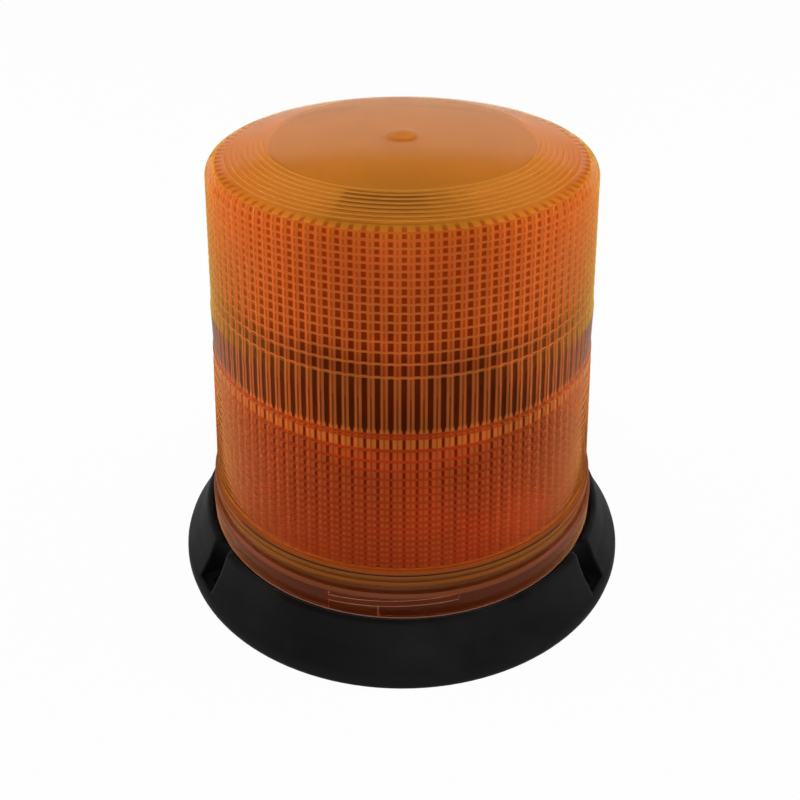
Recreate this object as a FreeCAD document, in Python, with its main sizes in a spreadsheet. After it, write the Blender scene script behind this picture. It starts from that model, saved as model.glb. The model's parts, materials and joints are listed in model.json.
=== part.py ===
import FreeCAD, Part

import math
import os

import Sketcher

# Rotating beacon on a three-bolt flange.
#
# Frame: millimetres, +Z up, origin on the axis at the underside of the foot, front is -Y.
# A black base moulding carries a steel chassis. On the chassis stand the motor with its
# bracket, an idler, and the pillar that holds the lamp. A reflector on a large gear turns
# round the pillar. An amber dome closes the base with a three-lug bayonet.

os.makedirs("parts", exist_ok=True)
doc = FreeCAD.newDocument("beacon")
sheet = doc.addObject("Spreadsheet::Sheet", "sizes")

DRIVING = {
    # Base moulding, outer form
    "foot_edge": 0.3, "foot_height": 1.5, "flare_reach": 9.0,
    "lip_height": 6.0, "lip_inset": 1.6, "lip_round": 6.5,
    "crest_gap": 3.33, "crest_height": 20.0, "flare_round": 70.0, "crest_chamfer": 0.6,
    "crest_width": 1.5, "moat_height": 18.4,
    "collar_rad": 66.4, "collar_wall": 3.0, "collar_height": 31.0,
    "deck_height": 12.0, "deck_wall": 3.0, "recess_inset": 4.4,
    "hollow_inset": 0.4, "hollow_rim": 6.1, "hollow_taper": 4.8,
    "hollow_shoulder": 6.0, "hollow_height": 15.2,
    # Three mounting bolts
    "bolt_inset": 7.5, "bolt_hole_rad": 2.75, "pocket_width": 10.5,
    "pocket_reach": 5.5, "pocket_floor": 5.0, "pocket_wall": 2.5,
    # Mounting gasket
    "gasket_inset": 4.3, "gasket_width": 2.6, "gasket_thick": 2.0,
    # Bayonet
    "lug_reach": 2.2, "lug_height": 1.45, "lug_drop": 5.85, "lug_angle": 13.8,
    "channel_drop": 0.95, "channel_height": 2.55, "channel_slope": 0.055,
    "channel_depth": 1.8, "channel_round": 1.6, "channel_end": 15.8, "channel_start": -20.3,
    "entry_end": -6.2,
    # Lens dome
    "skirt_wall": 2.97, "skirt_clear": 0.8, "skirt_base": 19.3, "skirt_edge": 0.5,
    "skirt_drop": 2.7, "crevice_depth": 1.2, "crevice_rise": 0.1,
    "bead_reach": 2.5, "bead_rise": 1.9, "bead_gap": 0.7, "bead_pitch": 2.6,
    "wall_reach": 1.5, "wall_rise": 3.5, "belt_draft": 4.2, "roof_rise": 50.8,
    "shoulder_draft": 2.6, "shoulder_drop": 3.8, "shoulder_round": 5.0,
    "roof_inset": 4.9, "roof_lip": 1.2, "step_band": 13.95, "disc_rise": 4.2,
    "crown_rise": 1.1, "nub_rad": 4.0, "nub_rise": 0.8, "roof_land": 1.0,
    "belt_share": 0.1468085, "belt_bulge": 0.45, "prism_depth": 0.5, "zone_growth": 0.7,
    "lens_wall": 3.0, "flute_depth": 0.6, "seal_thick": 2.5, "seat_inset": 1.4,
    "roof_wall": 2.6,
    # Lens seal
    "seal_inset": 2.7, "seal_reach": 0.3,
    # Chassis
    "chassis_inset": 6.4, "chassis_thick": 1.5, "fixing_inset": 8.0,
    "screw_rad": 1.5, "screw_head_rad": 3.0, "screw_head": 1.8, "screw_length": 9.0,
    "screw_spare": 0.5,
    "boss_rad": 4.2, "boss_height": 6.4,
    # Cable grommet
    "grommet_rad": 6.0, "grommet_bore": 3.2, "grommet_lip": 2.6, "grommet_lip_thick": 1.5,
    "grommet_place": 34.0,
    # Breather plug
    "plug_rad": 3.0, "plug_head_rad": 5.0, "plug_head": 1.6, "plug_place": 30.0,
    "plug_tail": 0.6, "plug_clear": 1.0,
    # Lamp pillar
    "pillar_foot_rad": 19.0, "pillar_foot_thick": 3.0, "pillar_rad": 10.5,
    "journal_lift": 3.5, "journal_rad": 8.0, "pillar_stub": 21.3, "pillar_bore": 5.0,
    "pillar_screw_circle": 14.7,
    # Lamp and holder
    "holder_rad": 9.5, "holder_thick": 2.4, "spigot_length": 6.0, "spigot_clear": 0.1,
    "lamp_bore": 3.6, "lamp_base_rad": 7.0, "lamp_base_thick": 2.0, "lamp_stem": 5.0,
    "glass_rad": 4.6, "glass_wall": 0.7, "lamp_rise": 16.0, "glass_rise": 12.0, "filament_rad": 0.9,
    "filament_length": 5.0, "support_rad": 0.35, "support_spread": 1.6,
    "clip_width": 1.3, "clip_lip": 1.8, "clip_lip_thick": 0.8, "lead_rad": 1.1,
    # Motor
    "motor_rad": 13.8, "motor_height": 28.5, "end_cap_thick": 3.6, "end_cap_rad": 13.3,
    "motor_boss_rad": 3.0, "motor_boss": 1.5, "shaft_rad": 1.15,
    "motor_screw_place": 8.0, "motor_screw_rad": 1.2, "motor_screw_head": 2.2,
    "motor_screw_rise": 1.0, "motor_screw_length": 4.0, "case_round": 1.2,
    # Motor bracket
    "bracket_thick": 1.5, "standoff_rad": 3.2, "bracket_edge": 5.0, "bracket_margin": 1.5,
    "standoff_near": 50.0, "standoff_mid": 52.0, "standoff_far": 56.0,
    "bracket_screw_inset": 0.3, "bracket_screw_rise": 0.9, "bracket_screw_length": 6.0,
    # Gear train, whole number teeth, 1 mm module
    "gear_module": 1.0, "backlash": 0.2, "rotor_teeth": 60, "wheel_teeth": 36,
    "pinion_teeth": 12, "idler_turn": 150.0, "addendum": 1.0, "dedendum": 1.25,
    "pressure_angle": 20.0, "gear_thick": 5.5, "wheel_thick": 4.5, "gear_gap": 1.0,
    "wheel_lift": 1.5, "pinion_extra": 0.4,
    "axle_rad": 2.0, "axle_shoulder_rad": 3.5, "run_clear": 0.05,
    "end_clear": 0.2, "e_clip_rad": 3.6, "e_clip_thick": 0.6, "axle_tail": 0.8,
    "clip_groove": 0.5,
    # Rotor
    "washer_thick": 1.0, "washer_rad": 13.0, "bush_rad": 10.0, "bush_height": 13.5,
    "hub_rad": 13.5, "hub_height": 11.5, "ring_rad": 10.4, "ring_thick": 1.0,
    "ring_groove": 0.8,
    "turntable_rad": 28.0, "turntable_thick": 1.5, "arm_width": 16.0, "arm_place": 26.0,
    "arm_thick": 2.0, "arm_rise": 9.0, "table_screw_circle": 20.5, "table_screw_length": 5.0,
    "focal": 20.5, "mirror_clear": 6.2, "mirror_wall": 1.6, "mirror_flange": 2.0,
    "table_clear": 3.0,
    "mirror_boss_rad": 6.5, "mirror_screw_place": 4.0, "mirror_notch_low": 15.0,
    "mirror_notch_high": 11.6, "ring_clear": 3.3, "lamp_clear": 4.1,
    "weight_out_rad": 27.0, "weight_in_rad": 17.5, "weight_height": 7.0, "weight_angle": 76.0,
    # Terminal block and capacitor
    "block_length": 24.0, "block_width": 12.0, "block_height": 11.0, "block_place": 38.0,
    "block_screw_rad": 2.2, "block_screw_pitch": 8.0, "block_screw_rise": 1.4,
    "well_depth": 2.5, "well_clear": 0.1,
    "capacitor_rad": 5.5, "capacitor_height": 16.0, "capacitor_place": 40.0,
    "capacitor_round": 0.6,
}


FRONT = -90.0
BOLT_ANGLES = (-30.0, 90.0, 210.0)
LUG_MID = FRONT + 8.1
FIXING_ANGLES = (30.0, 120.0, 270.0)
PILLAR_SCREW_ANGLES = (10.0, 130.0, 250.0)
STANDOFFS = (("standoff_mid", 172.0), ("standoff_near", 212.0), ("standoff_far", 132.0))
BLOCK_ANGLE = -20.0
CAPACITOR_ANGLE = 310.0
GROMMET_ANGLE = 60.0
PLUG_ANGLE = 100.0
FLUTES = 100
ROOF_STEPS = 4
PRISMS_ABOVE = 4
PRISMS_BELOW = 5
PRISM_STRIDE = 3


class Size:
    """A length together with the sheet expression that gives it."""

    def __init__(self, value, text):
        self.value = float(value)
        self.text = text

    def __add__(self, other):
        other = size(other)
        return Size(self.value + other.value, "(%s + %s)" % (self.text, other.text))

    def __sub__(self, other):
        other = size(other)
        return Size(self.value - other.value, "(%s - %s)" % (self.text, other.text))

    def __mul__(self, other):
        other = size(other)
        return Size(self.value * other.value, "(%s * %s)" % (self.text, other.text))

    def __truediv__(self, other):
        other = size(other)
        return Size(self.value / other.value, "(%s / %s)" % (self.text, other.text))

    def __neg__(self):
        return Size(-self.value, "(0 - %s)" % self.text)

    __radd__ = __add__
    __rmul__ = __mul__

    def __rsub__(self, other):
        return size(other) - self


def size(number):
    if isinstance(number, Size):
        return number
    return Size(number, "%.9f" % number)


class Sizes:
    """The driving sizes, read as attributes."""


# Sizes that follow from another one by a named step, in the order of the chain
FOLLOWING = {
    "skirt_in_rad": "collar_rad + skirt_clear", "skirt_rad": "skirt_in_rad + skirt_wall",
    "crest_rad": "skirt_rad + crest_gap", "foot_rad": "crest_rad + flare_reach",
    "lip_rad": "foot_rad - lip_inset", "bolt_circle_rad": "foot_rad - bolt_inset",
    "gasket_in_rad": "foot_rad - gasket_inset",
    "hollow_in_rad": "collar_rad - hollow_inset", "hollow_out_rad": "foot_rad - hollow_rim",
    "hollow_top_rad": "hollow_out_rad - hollow_taper",
    "recess_rad": "collar_rad - recess_inset", "chassis_rad": "collar_rad - chassis_inset",
    "fixing_circle_rad": "chassis_rad - fixing_inset",
    "seal_in_rad": "collar_rad - seal_inset", "seal_out_rad": "collar_rad + seal_reach",
    "seat_rad": "collar_rad - seat_inset", "bead_rad": "collar_rad + bead_reach",
    "crevice_rad": "bead_rad - crevice_depth", "wall_base_rad": "collar_rad + wall_reach",
    "belt_rad": "wall_base_rad - belt_draft", "shoulder_rad": "belt_rad - shoulder_draft",
    "roof_rad": "shoulder_rad - roof_inset", "disc_rad": "roof_rad - step_band",
    "lug_base": "collar_height - lug_drop", "channel_base": "lug_base - channel_drop",
    "seat_height": "collar_height + seal_thick",
    "crevice_height": "collar_height + crevice_rise",
    "skirt_height": "crevice_height - skirt_drop", "bead_height": "crevice_height + bead_rise",
    "wall_base_height": "seat_height + wall_rise",
    "plate_top": "deck_height + chassis_thick", "motor_top": "plate_top + motor_height",
    "bracket_top": "motor_top + bracket_thick", "journal_base": "bracket_top + journal_lift",
    "bush_base": "journal_base + washer_thick", "bush_top": "bush_base + bush_height",
    "groove_base": "bush_top + end_clear", "groove_top": "groove_base + ring_thick",
    "pillar_height": "groove_top + pillar_stub", "optic_height": "pillar_height + lamp_rise",
    "glass_height": "optic_height + glass_rise", "arm_top": "optic_height + arm_rise",
    "roof_height": "optic_height + roof_rise", "shoulder_height": "roof_height - shoulder_drop",
    "disc_height": "roof_height + disc_rise", "crown_height": "disc_height + crown_rise",
    "nub_height": "crown_height + nub_rise",
    "belt_span": "shoulder_height - optic_height", "belt_half": "belt_span * belt_share",
    "rim_room": "roof_rise - roof_wall", "rim_rad": "rim_room - mirror_clear",
    "mirror_rad": "rim_rad - mirror_flange",
}
STEPS = {"+": Size.__add__, "-": Size.__sub__, "*": Size.__mul__}

dim = Sizes()
for row, (alias, number) in enumerate(DRIVING.items(), start=1):
    sheet.set("A%d" % row, alias)
    sheet.set("B%d" % row, str(number))
    sheet.setAlias("B%d" % row, alias)
    setattr(dim, alias, Size(number, "sizes.%s" % alias))
for row, (alias, formula) in enumerate(FOLLOWING.items(), start=len(DRIVING) + 1):
    start, sign, step = formula.split()
    sheet.set("A%d" % row, alias)
    sheet.set("B%d" % row, "=" + formula)
    sheet.setAlias("B%d" % row, alias)
    number = STEPS[sign](getattr(dim, start), getattr(dim, step)).value
    setattr(dim, alias, Size(number, "sizes.%s" % alias))
doc.recompute()


# Helpers for placing and shaping

def polar(radius, degrees):
    """Point at a radius and an azimuth counted from +X."""
    turn = math.radians(degrees)
    return radius * math.cos(turn), radius * math.sin(turn)


def put(thing, x=0.0, y=0.0, z=0.0, turn=0.0, axis=(0, 0, 1)):
    """Place an object with its position bound to the sheet."""
    thing.Placement = FreeCAD.Placement(
        FreeCAD.Vector(0, 0, 0), FreeCAD.Rotation(FreeCAD.Vector(*axis), turn)
    )
    for name, length in (("x", x), ("y", y), ("z", z)):
        if isinstance(length, Size) or length:
            thing.setExpression("Placement.Base." + name, size(length).text)
    return thing


def cylinder(name, radius, height, x=0.0, y=0.0, z=0.0, angle=360.0, turn=0.0):
    """Upright cylinder, or a pie slice of one that starts at an azimuth."""
    body = doc.addObject("Part::Cylinder", name)
    body.setExpression("Radius", size(radius).text)
    body.setExpression("Height", size(height).text)
    if isinstance(angle, Size) or angle != 360.0:
        body.setExpression("Angle", size(angle).text)
    return put(body, x, y, z, turn)


def block(name, length, width, height, x=0.0, y=0.0, z=0.0, turn=0.0):
    """Box whose first edge runs outwards along the azimuth turn, centred across it."""
    body = doc.addObject("Part::Box", name)
    body.setExpression("Length", size(length).text)
    body.setExpression("Width", size(width).text)
    body.setExpression("Height", size(height).text)
    side = math.radians(turn)
    half = size(width) / 2
    x = size(x) + half * math.sin(side)
    y = size(y) - half * math.cos(side)
    return put(body, x, y, z, turn)


def cut(name, base, *tools):
    """Base less the tools."""
    result = doc.addObject("Part::Cut", name)
    result.Base = base
    result.Tool = tools[0] if len(tools) == 1 else fuse(name + "_tools", *tools)
    return result


def fuse(name, *pieces):
    result = doc.addObject("Part::MultiFuse", name)
    result.Shapes = list(pieces)
    return result


def common(name, base, tool):
    result = doc.addObject("Part::Common", name)
    result.Base = base
    result.Tool = tool
    return result


def rounded(start, end, radius, side, bands):
    """Points strictly between start and end on an arc, for a round made of flat bands.

    Side +1 bulges to the right of the way from start to end, -1 to the left.
    """
    x1, y1 = size(start[0]), size(start[1])
    x2, y2 = size(end[0]), size(end[1])
    across = x2.value - x1.value
    along = y2.value - y1.value
    chord = math.hypot(across, along)
    half_turn = math.asin(chord / 2 / size(radius).value)
    points = []
    for count in range(1, bands):
        share = count / bands
        swing = half_turn * (2 * share - 1)
        part = (1 + math.sin(swing) / math.sin(half_turn)) / 2
        rise = (math.cos(swing) - math.cos(half_turn)) / (2 * math.sin(half_turn)) * side
        points.append((
            x1 + (x2 - x1) * part + (y2 - y1) * rise,
            y1 + (y2 - y1) * part - (x2 - x1) * rise,
        ))
    return points


def outline(body, role, points):
    """Closed sketch through the points."""
    sketch = body.newObject("Sketcher::SketchObject", body.Name + "_outline")
    plane = [f for f in body.Origin.OriginFeatures if f.Role == role][0]
    sketch.AttachmentSupport = [(plane, "")]
    sketch.MapMode = "FlatFace"
    flat = [FreeCAD.Vector(size(x).value, size(y).value, 0) for x, y in points]
    sides = [Part.LineSegment(a, b) for a, b in zip(flat, flat[1:] + flat[:1])]
    sketch.addGeometry(sides, False)
    for index, (x, y) in enumerate(points):
        after = (index + 1) % len(points)
        sketch.addConstraint(Sketcher.Constraint("Coincident", index, 2, after, 1))
        for kind, axis, length in (("DistanceX", -2, size(x)), ("DistanceY", -1, size(y))):
            if abs(length.value) < 1e-9:
                sketch.addConstraint(Sketcher.Constraint("PointOnObject", index, 1, axis))
                continue
            which = sketch.addConstraint(Sketcher.Constraint(
                kind, -1, 1, index, 1, length.value))
            sketch.setExpression("Constraints[%d]" % which, length.text)
    return sketch


def turned(name, points, x=0.0, y=0.0, z=0.0, role="XZ_Plane", turn=0.0, axis=(0, 0, 1)):
    """Body turned about the upright axis of its sketch."""
    body = doc.addObject("PartDesign::Body", name)
    sketch = outline(body, role, points)
    spin = body.newObject("PartDesign::Revolution", name + "_turn")
    spin.Profile = sketch
    spin.ReferenceAxis = (sketch, ["V_Axis"])
    spin.Angle = 360.0
    sketch.Visibility = False
    return put(body, x, y, z, turn, axis)


def washer(name, inner, outer, base, height, x=0.0, y=0.0):
    """Plain turned ring."""
    top = size(base) + height
    return turned(name, [(inner, base), (outer, base), (outer, top), (inner, top)], x, y)


def padded(name, points, height, z=0.0, role="XY_Plane", turn=0.0):
    """Flat outline padded upwards, or towards the front from an upright plane."""
    body = doc.addObject("PartDesign::Body", name)
    sketch = outline(body, role, points)
    pad = body.newObject("PartDesign::Pad", name + "_pad")
    pad.Profile = sketch
    pad.setExpression("Length", size(height).text)
    return put(body, 0, 0, z, turn)


def screws(name, places, radius, head_radius, head, length, under_head):
    """Pan head screws, all alike, at several places."""
    pieces = []
    for index, (x, y) in enumerate(places):
        pieces.append(turned("%s_%d" % (name, index), [
            (0, -length), (radius, -length), (radius, 0), (head_radius, 0),
            (head_radius * 0.8, head), (0, head),
        ], x, y, under_head))
    return fuse(name, *pieces) if len(pieces) > 1 else pieces[0]


# Base moulding: flared flange, moat, collar, deck and hollow underside

crest_top = dim.crest_height + dim.crest_chamfer
crest_in = dim.crest_rad - dim.crest_chamfer - dim.crest_width
collar_in = dim.collar_rad - dim.collar_wall
deck_under = dim.deck_height - dim.deck_wall

gasket_out = dim.gasket_in_rad + dim.gasket_width

lip_start = (dim.foot_rad, dim.foot_height)
lip_end = (dim.lip_rad, dim.lip_height)
crest = (dim.crest_rad, dim.crest_height)
base_form = turned("base_form", [
    (dim.foot_rad - dim.foot_edge, 0),
    lip_start,
    *rounded(lip_start, lip_end, dim.lip_round, 1, 3),
    lip_end,
    *rounded(lip_end, crest, dim.flare_round, -1, 2),
    crest,
    (dim.crest_rad - dim.crest_chamfer, crest_top),
    (crest_in, crest_top),
    (crest_in, dim.moat_height),
    (dim.collar_rad, dim.moat_height),
    (dim.collar_rad, dim.collar_height),
    (collar_in, dim.collar_height),
    (collar_in, dim.deck_height),
    (0, dim.deck_height),
    (0, deck_under),
    (dim.recess_rad, deck_under),
    (dim.recess_rad, 0),
    (dim.gasket_in_rad, 0),
    (dim.gasket_in_rad, dim.gasket_thick),
    (gasket_out, dim.gasket_thick),
    (gasket_out, 0),
])

hollow = turned("hollow_ring", [
    (dim.hollow_in_rad, 0),
    (dim.hollow_out_rad, 0),
    (dim.hollow_out_rad, dim.hollow_shoulder),
    (dim.hollow_top_rad, dim.hollow_height),
    (dim.hollow_in_rad, dim.hollow_height),
])

pocket_rad = dim.pocket_width / 2
column_width = dim.pocket_width + dim.pocket_wall * 2
columns = []
pockets = []
holes = []
for index, angle in enumerate(BOLT_ANGLES):
    x, y = polar(dim.bolt_circle_rad, angle)
    near_x, near_y = polar(dim.hollow_in_rad - dim.pocket_wall, angle)
    column_reach = dim.hollow_out_rad - dim.hollow_in_rad + dim.pocket_wall * 2
    columns.append(block("column_%d" % index, column_reach, column_width,
                         dim.hollow_height, near_x, near_y, 0, angle))
    pockets.append(block("pocket_%d" % index, dim.pocket_reach, dim.pocket_width,
                         crest_top, x, y, dim.pocket_floor, angle))
    pockets.append(cylinder("pocket_end_%d" % index, pocket_rad, crest_top,
                            x, y, dim.pocket_floor))
    holes.append(cylinder("bolt_hole_%d" % index, dim.bolt_hole_rad, dim.crest_height, x, y))
hollow_cut = cut("hollow_cut", hollow, *columns)

# Bosses and holes for the chassis screws, the grommet and the breather plug
bosses = []
fixing_places = [polar(dim.fixing_circle_rad, angle) for angle in FIXING_ANGLES]
grommet_x, grommet_y = polar(dim.grommet_place, GROMMET_ANGLE)
plug_x, plug_y = polar(dim.plug_place, PLUG_ANGLE)
boss_base = deck_under - dim.boss_height
for index, (x, y) in enumerate(fixing_places):
    bosses.append(cylinder("boss_%d" % index, dim.boss_rad, dim.boss_height + dim.deck_wall / 2,
                           x, y, boss_base))
    holes.append(cylinder("boss_hole_%d" % index, dim.screw_rad + dim.run_clear,
                          dim.screw_length + dim.screw_spare * 2, x, y,
                          dim.deck_height - dim.screw_length - dim.screw_spare))
holes.append(cylinder("grommet_hole", dim.grommet_rad, dim.crest_height, grommet_x, grommet_y,
                      dim.deck_wall))
holes.append(cylinder("plug_hole", dim.plug_rad, dim.crest_height, plug_x, plug_y,
                      dim.deck_wall))

# Bayonet lugs on the collar
lugs = []
lug_rad = dim.collar_rad + dim.lug_reach
for index in range(3):
    start = LUG_MID - DRIVING["lug_angle"] / 2 + 120.0 * index
    outer = cylinder("lug_outer_%d" % index, lug_rad, dim.lug_height, z=dim.lug_base,
                     angle=dim.lug_angle, turn=start)
    inner = cylinder("lug_inner_%d" % index, dim.collar_rad - dim.collar_wall / 2,
                     dim.lug_height, z=dim.lug_base, angle=360.0)
    lugs.append(cut("lug_%d" % index, outer, inner))

base_solid = fuse("base_solid", base_form, *(bosses + lugs))
base = cut("mounting_base", base_solid, hollow_cut, *(pockets + holes))

gasket = washer("mounting_gasket", dim.gasket_in_rad, gasket_out, 0, dim.gasket_thick)

# Lens seal between the collar and the seat inside the dome
seal = washer("lens_seal", dim.seal_in_rad, dim.seal_out_rad, dim.collar_height,
              dim.seat_height - dim.collar_height)


# Lens dome: skirt, two beads, prismatic wall, belt, shoulder and stepped roof

wall_drop = (dim.wall_base_rad - dim.belt_rad) / (dim.optic_height - dim.wall_base_height)
upper_drop = (dim.belt_rad - dim.shoulder_rad) / (dim.shoulder_height - dim.optic_height)


def wall_below(height):
    """Wall radius at a height under the belt."""
    return dim.wall_base_rad - wall_drop * (height - dim.wall_base_height)


def wall_above(height):
    return dim.belt_rad - upper_drop * (height - dim.optic_height)


def zone_edge(count):
    """Distance of a prism edge from the optic plane; later zones are narrower."""
    return dim.belt_half * count ** DRIVING["zone_growth"]


lower_edges = []
for count in range(PRISMS_BELOW, 0, -1):
    lower_edges.append(dim.optic_height - zone_edge(1 + PRISM_STRIDE * count))
upper_edges = []
for count in range(1, PRISMS_ABOVE + 1):
    upper_edges.append(dim.optic_height + zone_edge(1 + PRISM_STRIDE * count))

profile = [
    (dim.skirt_in_rad, dim.skirt_base),
    (dim.skirt_rad - dim.skirt_edge, dim.skirt_base),
    (dim.skirt_rad, dim.skirt_base + dim.skirt_edge),
    (dim.skirt_rad, dim.skirt_height),
    (dim.crevice_rad + dim.bead_gap, dim.crevice_height - dim.bead_gap),
    (dim.crevice_rad, dim.crevice_height),
    (dim.bead_rad, dim.bead_height),
    (dim.bead_rad - dim.bead_gap, dim.bead_height + dim.bead_pitch / 2),
    (dim.bead_rad, dim.bead_height + dim.bead_pitch),
    (dim.wall_base_rad - dim.prism_depth, dim.wall_base_height),
]
for edge in lower_edges:
    profile.append((wall_below(edge), edge))
    profile.append((wall_below(edge) - dim.prism_depth, edge))
belt_low = dim.optic_height - dim.belt_half
belt_high = dim.optic_height + dim.belt_half
profile.append((wall_below(belt_low), belt_low))
profile.append((wall_below(belt_low) - dim.prism_depth, belt_low))
profile.append((dim.belt_rad + dim.belt_bulge, dim.optic_height))
profile.append((wall_above(belt_high) - dim.prism_depth, belt_high))
profile.append((wall_above(belt_high), belt_high))
for edge in upper_edges:
    profile.append((wall_above(edge) - dim.prism_depth, edge))
    profile.append((wall_above(edge), edge))
shoulder = (dim.shoulder_rad, dim.shoulder_height)
roof_edge = (dim.roof_rad + dim.roof_lip, dim.roof_height - dim.roof_lip / 12)
profile += [shoulder, *rounded(shoulder, roof_edge, dim.shoulder_round, 1, 3), roof_edge]
profile.append((dim.roof_rad, dim.roof_height))
step_in = (dim.roof_rad - dim.disc_rad) / ROOF_STEPS
step_up = (dim.disc_height - dim.roof_height) / ROOF_STEPS
for count in range(ROOF_STEPS):
    profile.append((dim.roof_rad - step_in * count, dim.roof_height + step_up * (count + 1)))
    profile.append((dim.roof_rad - step_in * (count + 1),
                    dim.roof_height + step_up * (count + 1)))
profile += [
    (dim.nub_rad, dim.crown_height),
    (dim.nub_rad, dim.nub_height),
    (0, dim.nub_height),
    (0, dim.seat_height),
    (dim.skirt_in_rad, dim.seat_height),
]
dome_form = turned("dome_form", profile)

# Inside of the dome: a smooth seat ring, then 100 upright flutes up to the roof
seat_bore = cylinder("seat_bore", dim.seat_rad, dim.wall_base_height - dim.seat_height,
                     z=dim.seat_height)
roof_bore = turned("roof_bore", [
    (0, dim.shoulder_height - dim.roof_land),
    (dim.roof_rad - dim.roof_land, dim.shoulder_height - dim.roof_land),
    (dim.roof_rad - dim.roof_land, dim.roof_height - dim.roof_wall),
    (dim.disc_rad - dim.roof_land, dim.disc_height - dim.roof_wall),
    (0, dim.disc_height - dim.roof_wall),
])


def star(radius, depth, height):
    """Closed wire with a point per flute."""
    points = []
    for count in range(2 * FLUTES):
        reach = radius - (depth if count % 2 else 0.0)
        turn = math.pi * count / FLUTES
        points.append(FreeCAD.Vector(reach * math.cos(turn), reach * math.sin(turn), height))
    return Part.makePolygon(points + points[:1])


flute_core = doc.addObject("Part::Feature", "flute_core")
wall = dim.lens_wall.value
flute_core.Shape = Part.makeLoft([
    star(dim.wall_base_rad.value - wall, dim.flute_depth.value, dim.wall_base_height.value),
    star(dim.belt_rad.value - wall, dim.flute_depth.value, dim.optic_height.value),
    star(dim.shoulder_rad.value - wall, dim.flute_depth.value, dim.shoulder_height.value),
], True, True)


def ramp(angle):
    """Rise of the bayonet channel at an angle from the front."""
    return DRIVING["channel_slope"] * angle


track_mid = dim.skirt_in_rad + dim.channel_depth / 2


def across_skirt(angle):
    """Sideways place on the skirt at an angle from the front."""
    return track_mid * math.sin(math.radians(angle))


def track_point(angle, height):
    return across_skirt(angle), height + ramp(angle)


entry_low = dim.skirt_base - 1.0
track_top = dim.channel_base + dim.channel_height
track_start = DRIVING["channel_start"]
track_end = DRIVING["channel_end"]
entry_end = DRIVING["entry_end"]
end_low = track_point(track_end, dim.channel_base)
end_high = track_point(track_end, track_top)
channel_outline = [
    (across_skirt(track_start), entry_low),
    (across_skirt(entry_end), entry_low),
    track_point(entry_end, dim.channel_base),
    end_low,
    *rounded(end_low, end_high, dim.channel_round, 1, 3),
    end_high,
    track_point(track_start, track_top),
]
channels = []
for index in range(3):
    turn = 120.0 * index
    slab = padded("channel_slab_%d" % index, channel_outline, dim.skirt_rad + 5.0,
                  role="XZ_Plane", turn=turn)
    band = cut("channel_band_%d" % index,
               cylinder("channel_outer_%d" % index, dim.skirt_in_rad + dim.channel_depth,
                        dim.seat_height, turn=turn),
               cylinder("channel_inner_%d" % index, dim.skirt_in_rad - 0.5,
                        dim.seat_height, turn=turn))
    channels.append(common("bayonet_channel_%d" % index, band, slab))
dome = cut("lens_dome", dome_form, seat_bore, roof_bore, flute_core, *channels)


# Chassis plate with everything that is screwed to it

plate_holes = []
for index, (x, y) in enumerate(fixing_places):
    plate_holes.append(cylinder("plate_hole_%d" % index, dim.screw_rad + dim.run_clear,
                                dim.chassis_thick, x, y, dim.deck_height))
plate_holes.append(cylinder("plate_grommet_hole", dim.grommet_rad, dim.chassis_thick,
                            grommet_x, grommet_y, dim.deck_height))
plate_holes.append(cylinder("plate_plug_hole", dim.plug_head_rad + dim.plug_clear, dim.chassis_thick,
                            plug_x, plug_y, dim.deck_height))
pillar_screw_places = [polar(dim.pillar_screw_circle, a) for a in PILLAR_SCREW_ANGLES]
plate_disc = cylinder("chassis_disc", dim.chassis_rad, dim.chassis_thick, z=dim.deck_height)
chassis = cut("chassis_plate", plate_disc, *plate_holes)
chassis_screws = screws("chassis_screws", fixing_places, dim.screw_rad, dim.screw_head_rad,
                        dim.screw_head, dim.screw_length, dim.plate_top)

lip_out = dim.grommet_rad + dim.grommet_lip
grommet = turned("cable_grommet", [
    (dim.grommet_bore, deck_under - dim.grommet_lip_thick),
    (lip_out, deck_under - dim.grommet_lip_thick),
    (lip_out, deck_under),
    (dim.grommet_rad, deck_under),
    (dim.grommet_rad, dim.plate_top),
    (lip_out, dim.plate_top),
    (lip_out, dim.plate_top + dim.grommet_lip_thick),
    (dim.grommet_bore, dim.plate_top + dim.grommet_lip_thick),
], grommet_x, grommet_y)

plug = turned("breather_plug", [
    (0, deck_under - dim.plug_tail),
    (dim.plug_rad, deck_under - dim.plug_tail),
    (dim.plug_rad, dim.deck_height),
    (dim.plug_head_rad, dim.deck_height),
    (dim.plug_head_rad, dim.deck_height + dim.plug_head * 0.6),
    (dim.plug_rad, dim.deck_height + dim.plug_head),
    (0, dim.deck_height + dim.plug_head),
], plug_x, plug_y)

# Pillar: fixed spindle of the rotor and carrier of the lamp
foot_top = dim.plate_top + dim.pillar_foot_thick
pillar_form = turned("pillar_form", [
    (dim.pillar_bore, dim.plate_top),
    (dim.pillar_foot_rad, dim.plate_top),
    (dim.pillar_foot_rad, foot_top),
    (dim.pillar_rad, foot_top),
    (dim.pillar_rad, dim.journal_base),
    (dim.journal_rad, dim.journal_base),
    (dim.journal_rad, dim.groove_base),
    (dim.journal_rad - dim.ring_groove, dim.groove_base),
    (dim.journal_rad - dim.ring_groove, dim.groove_top),
    (dim.journal_rad, dim.groove_top),
    (dim.journal_rad, dim.pillar_height),
    (dim.pillar_bore, dim.pillar_height),
])
pillar_holes = []
for index, (x, y) in enumerate(pillar_screw_places):
    pillar_holes.append(cylinder("pillar_hole_%d" % index, dim.screw_rad + dim.run_clear,
                                 dim.pillar_foot_thick, x, y, dim.plate_top))
pillar = cut("lamp_pillar", pillar_form, *pillar_holes)
pillar_screws = screws("pillar_screws", pillar_screw_places, dim.screw_rad,
                       dim.screw_head_rad, dim.screw_head, dim.pillar_foot_thick, foot_top)

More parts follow.
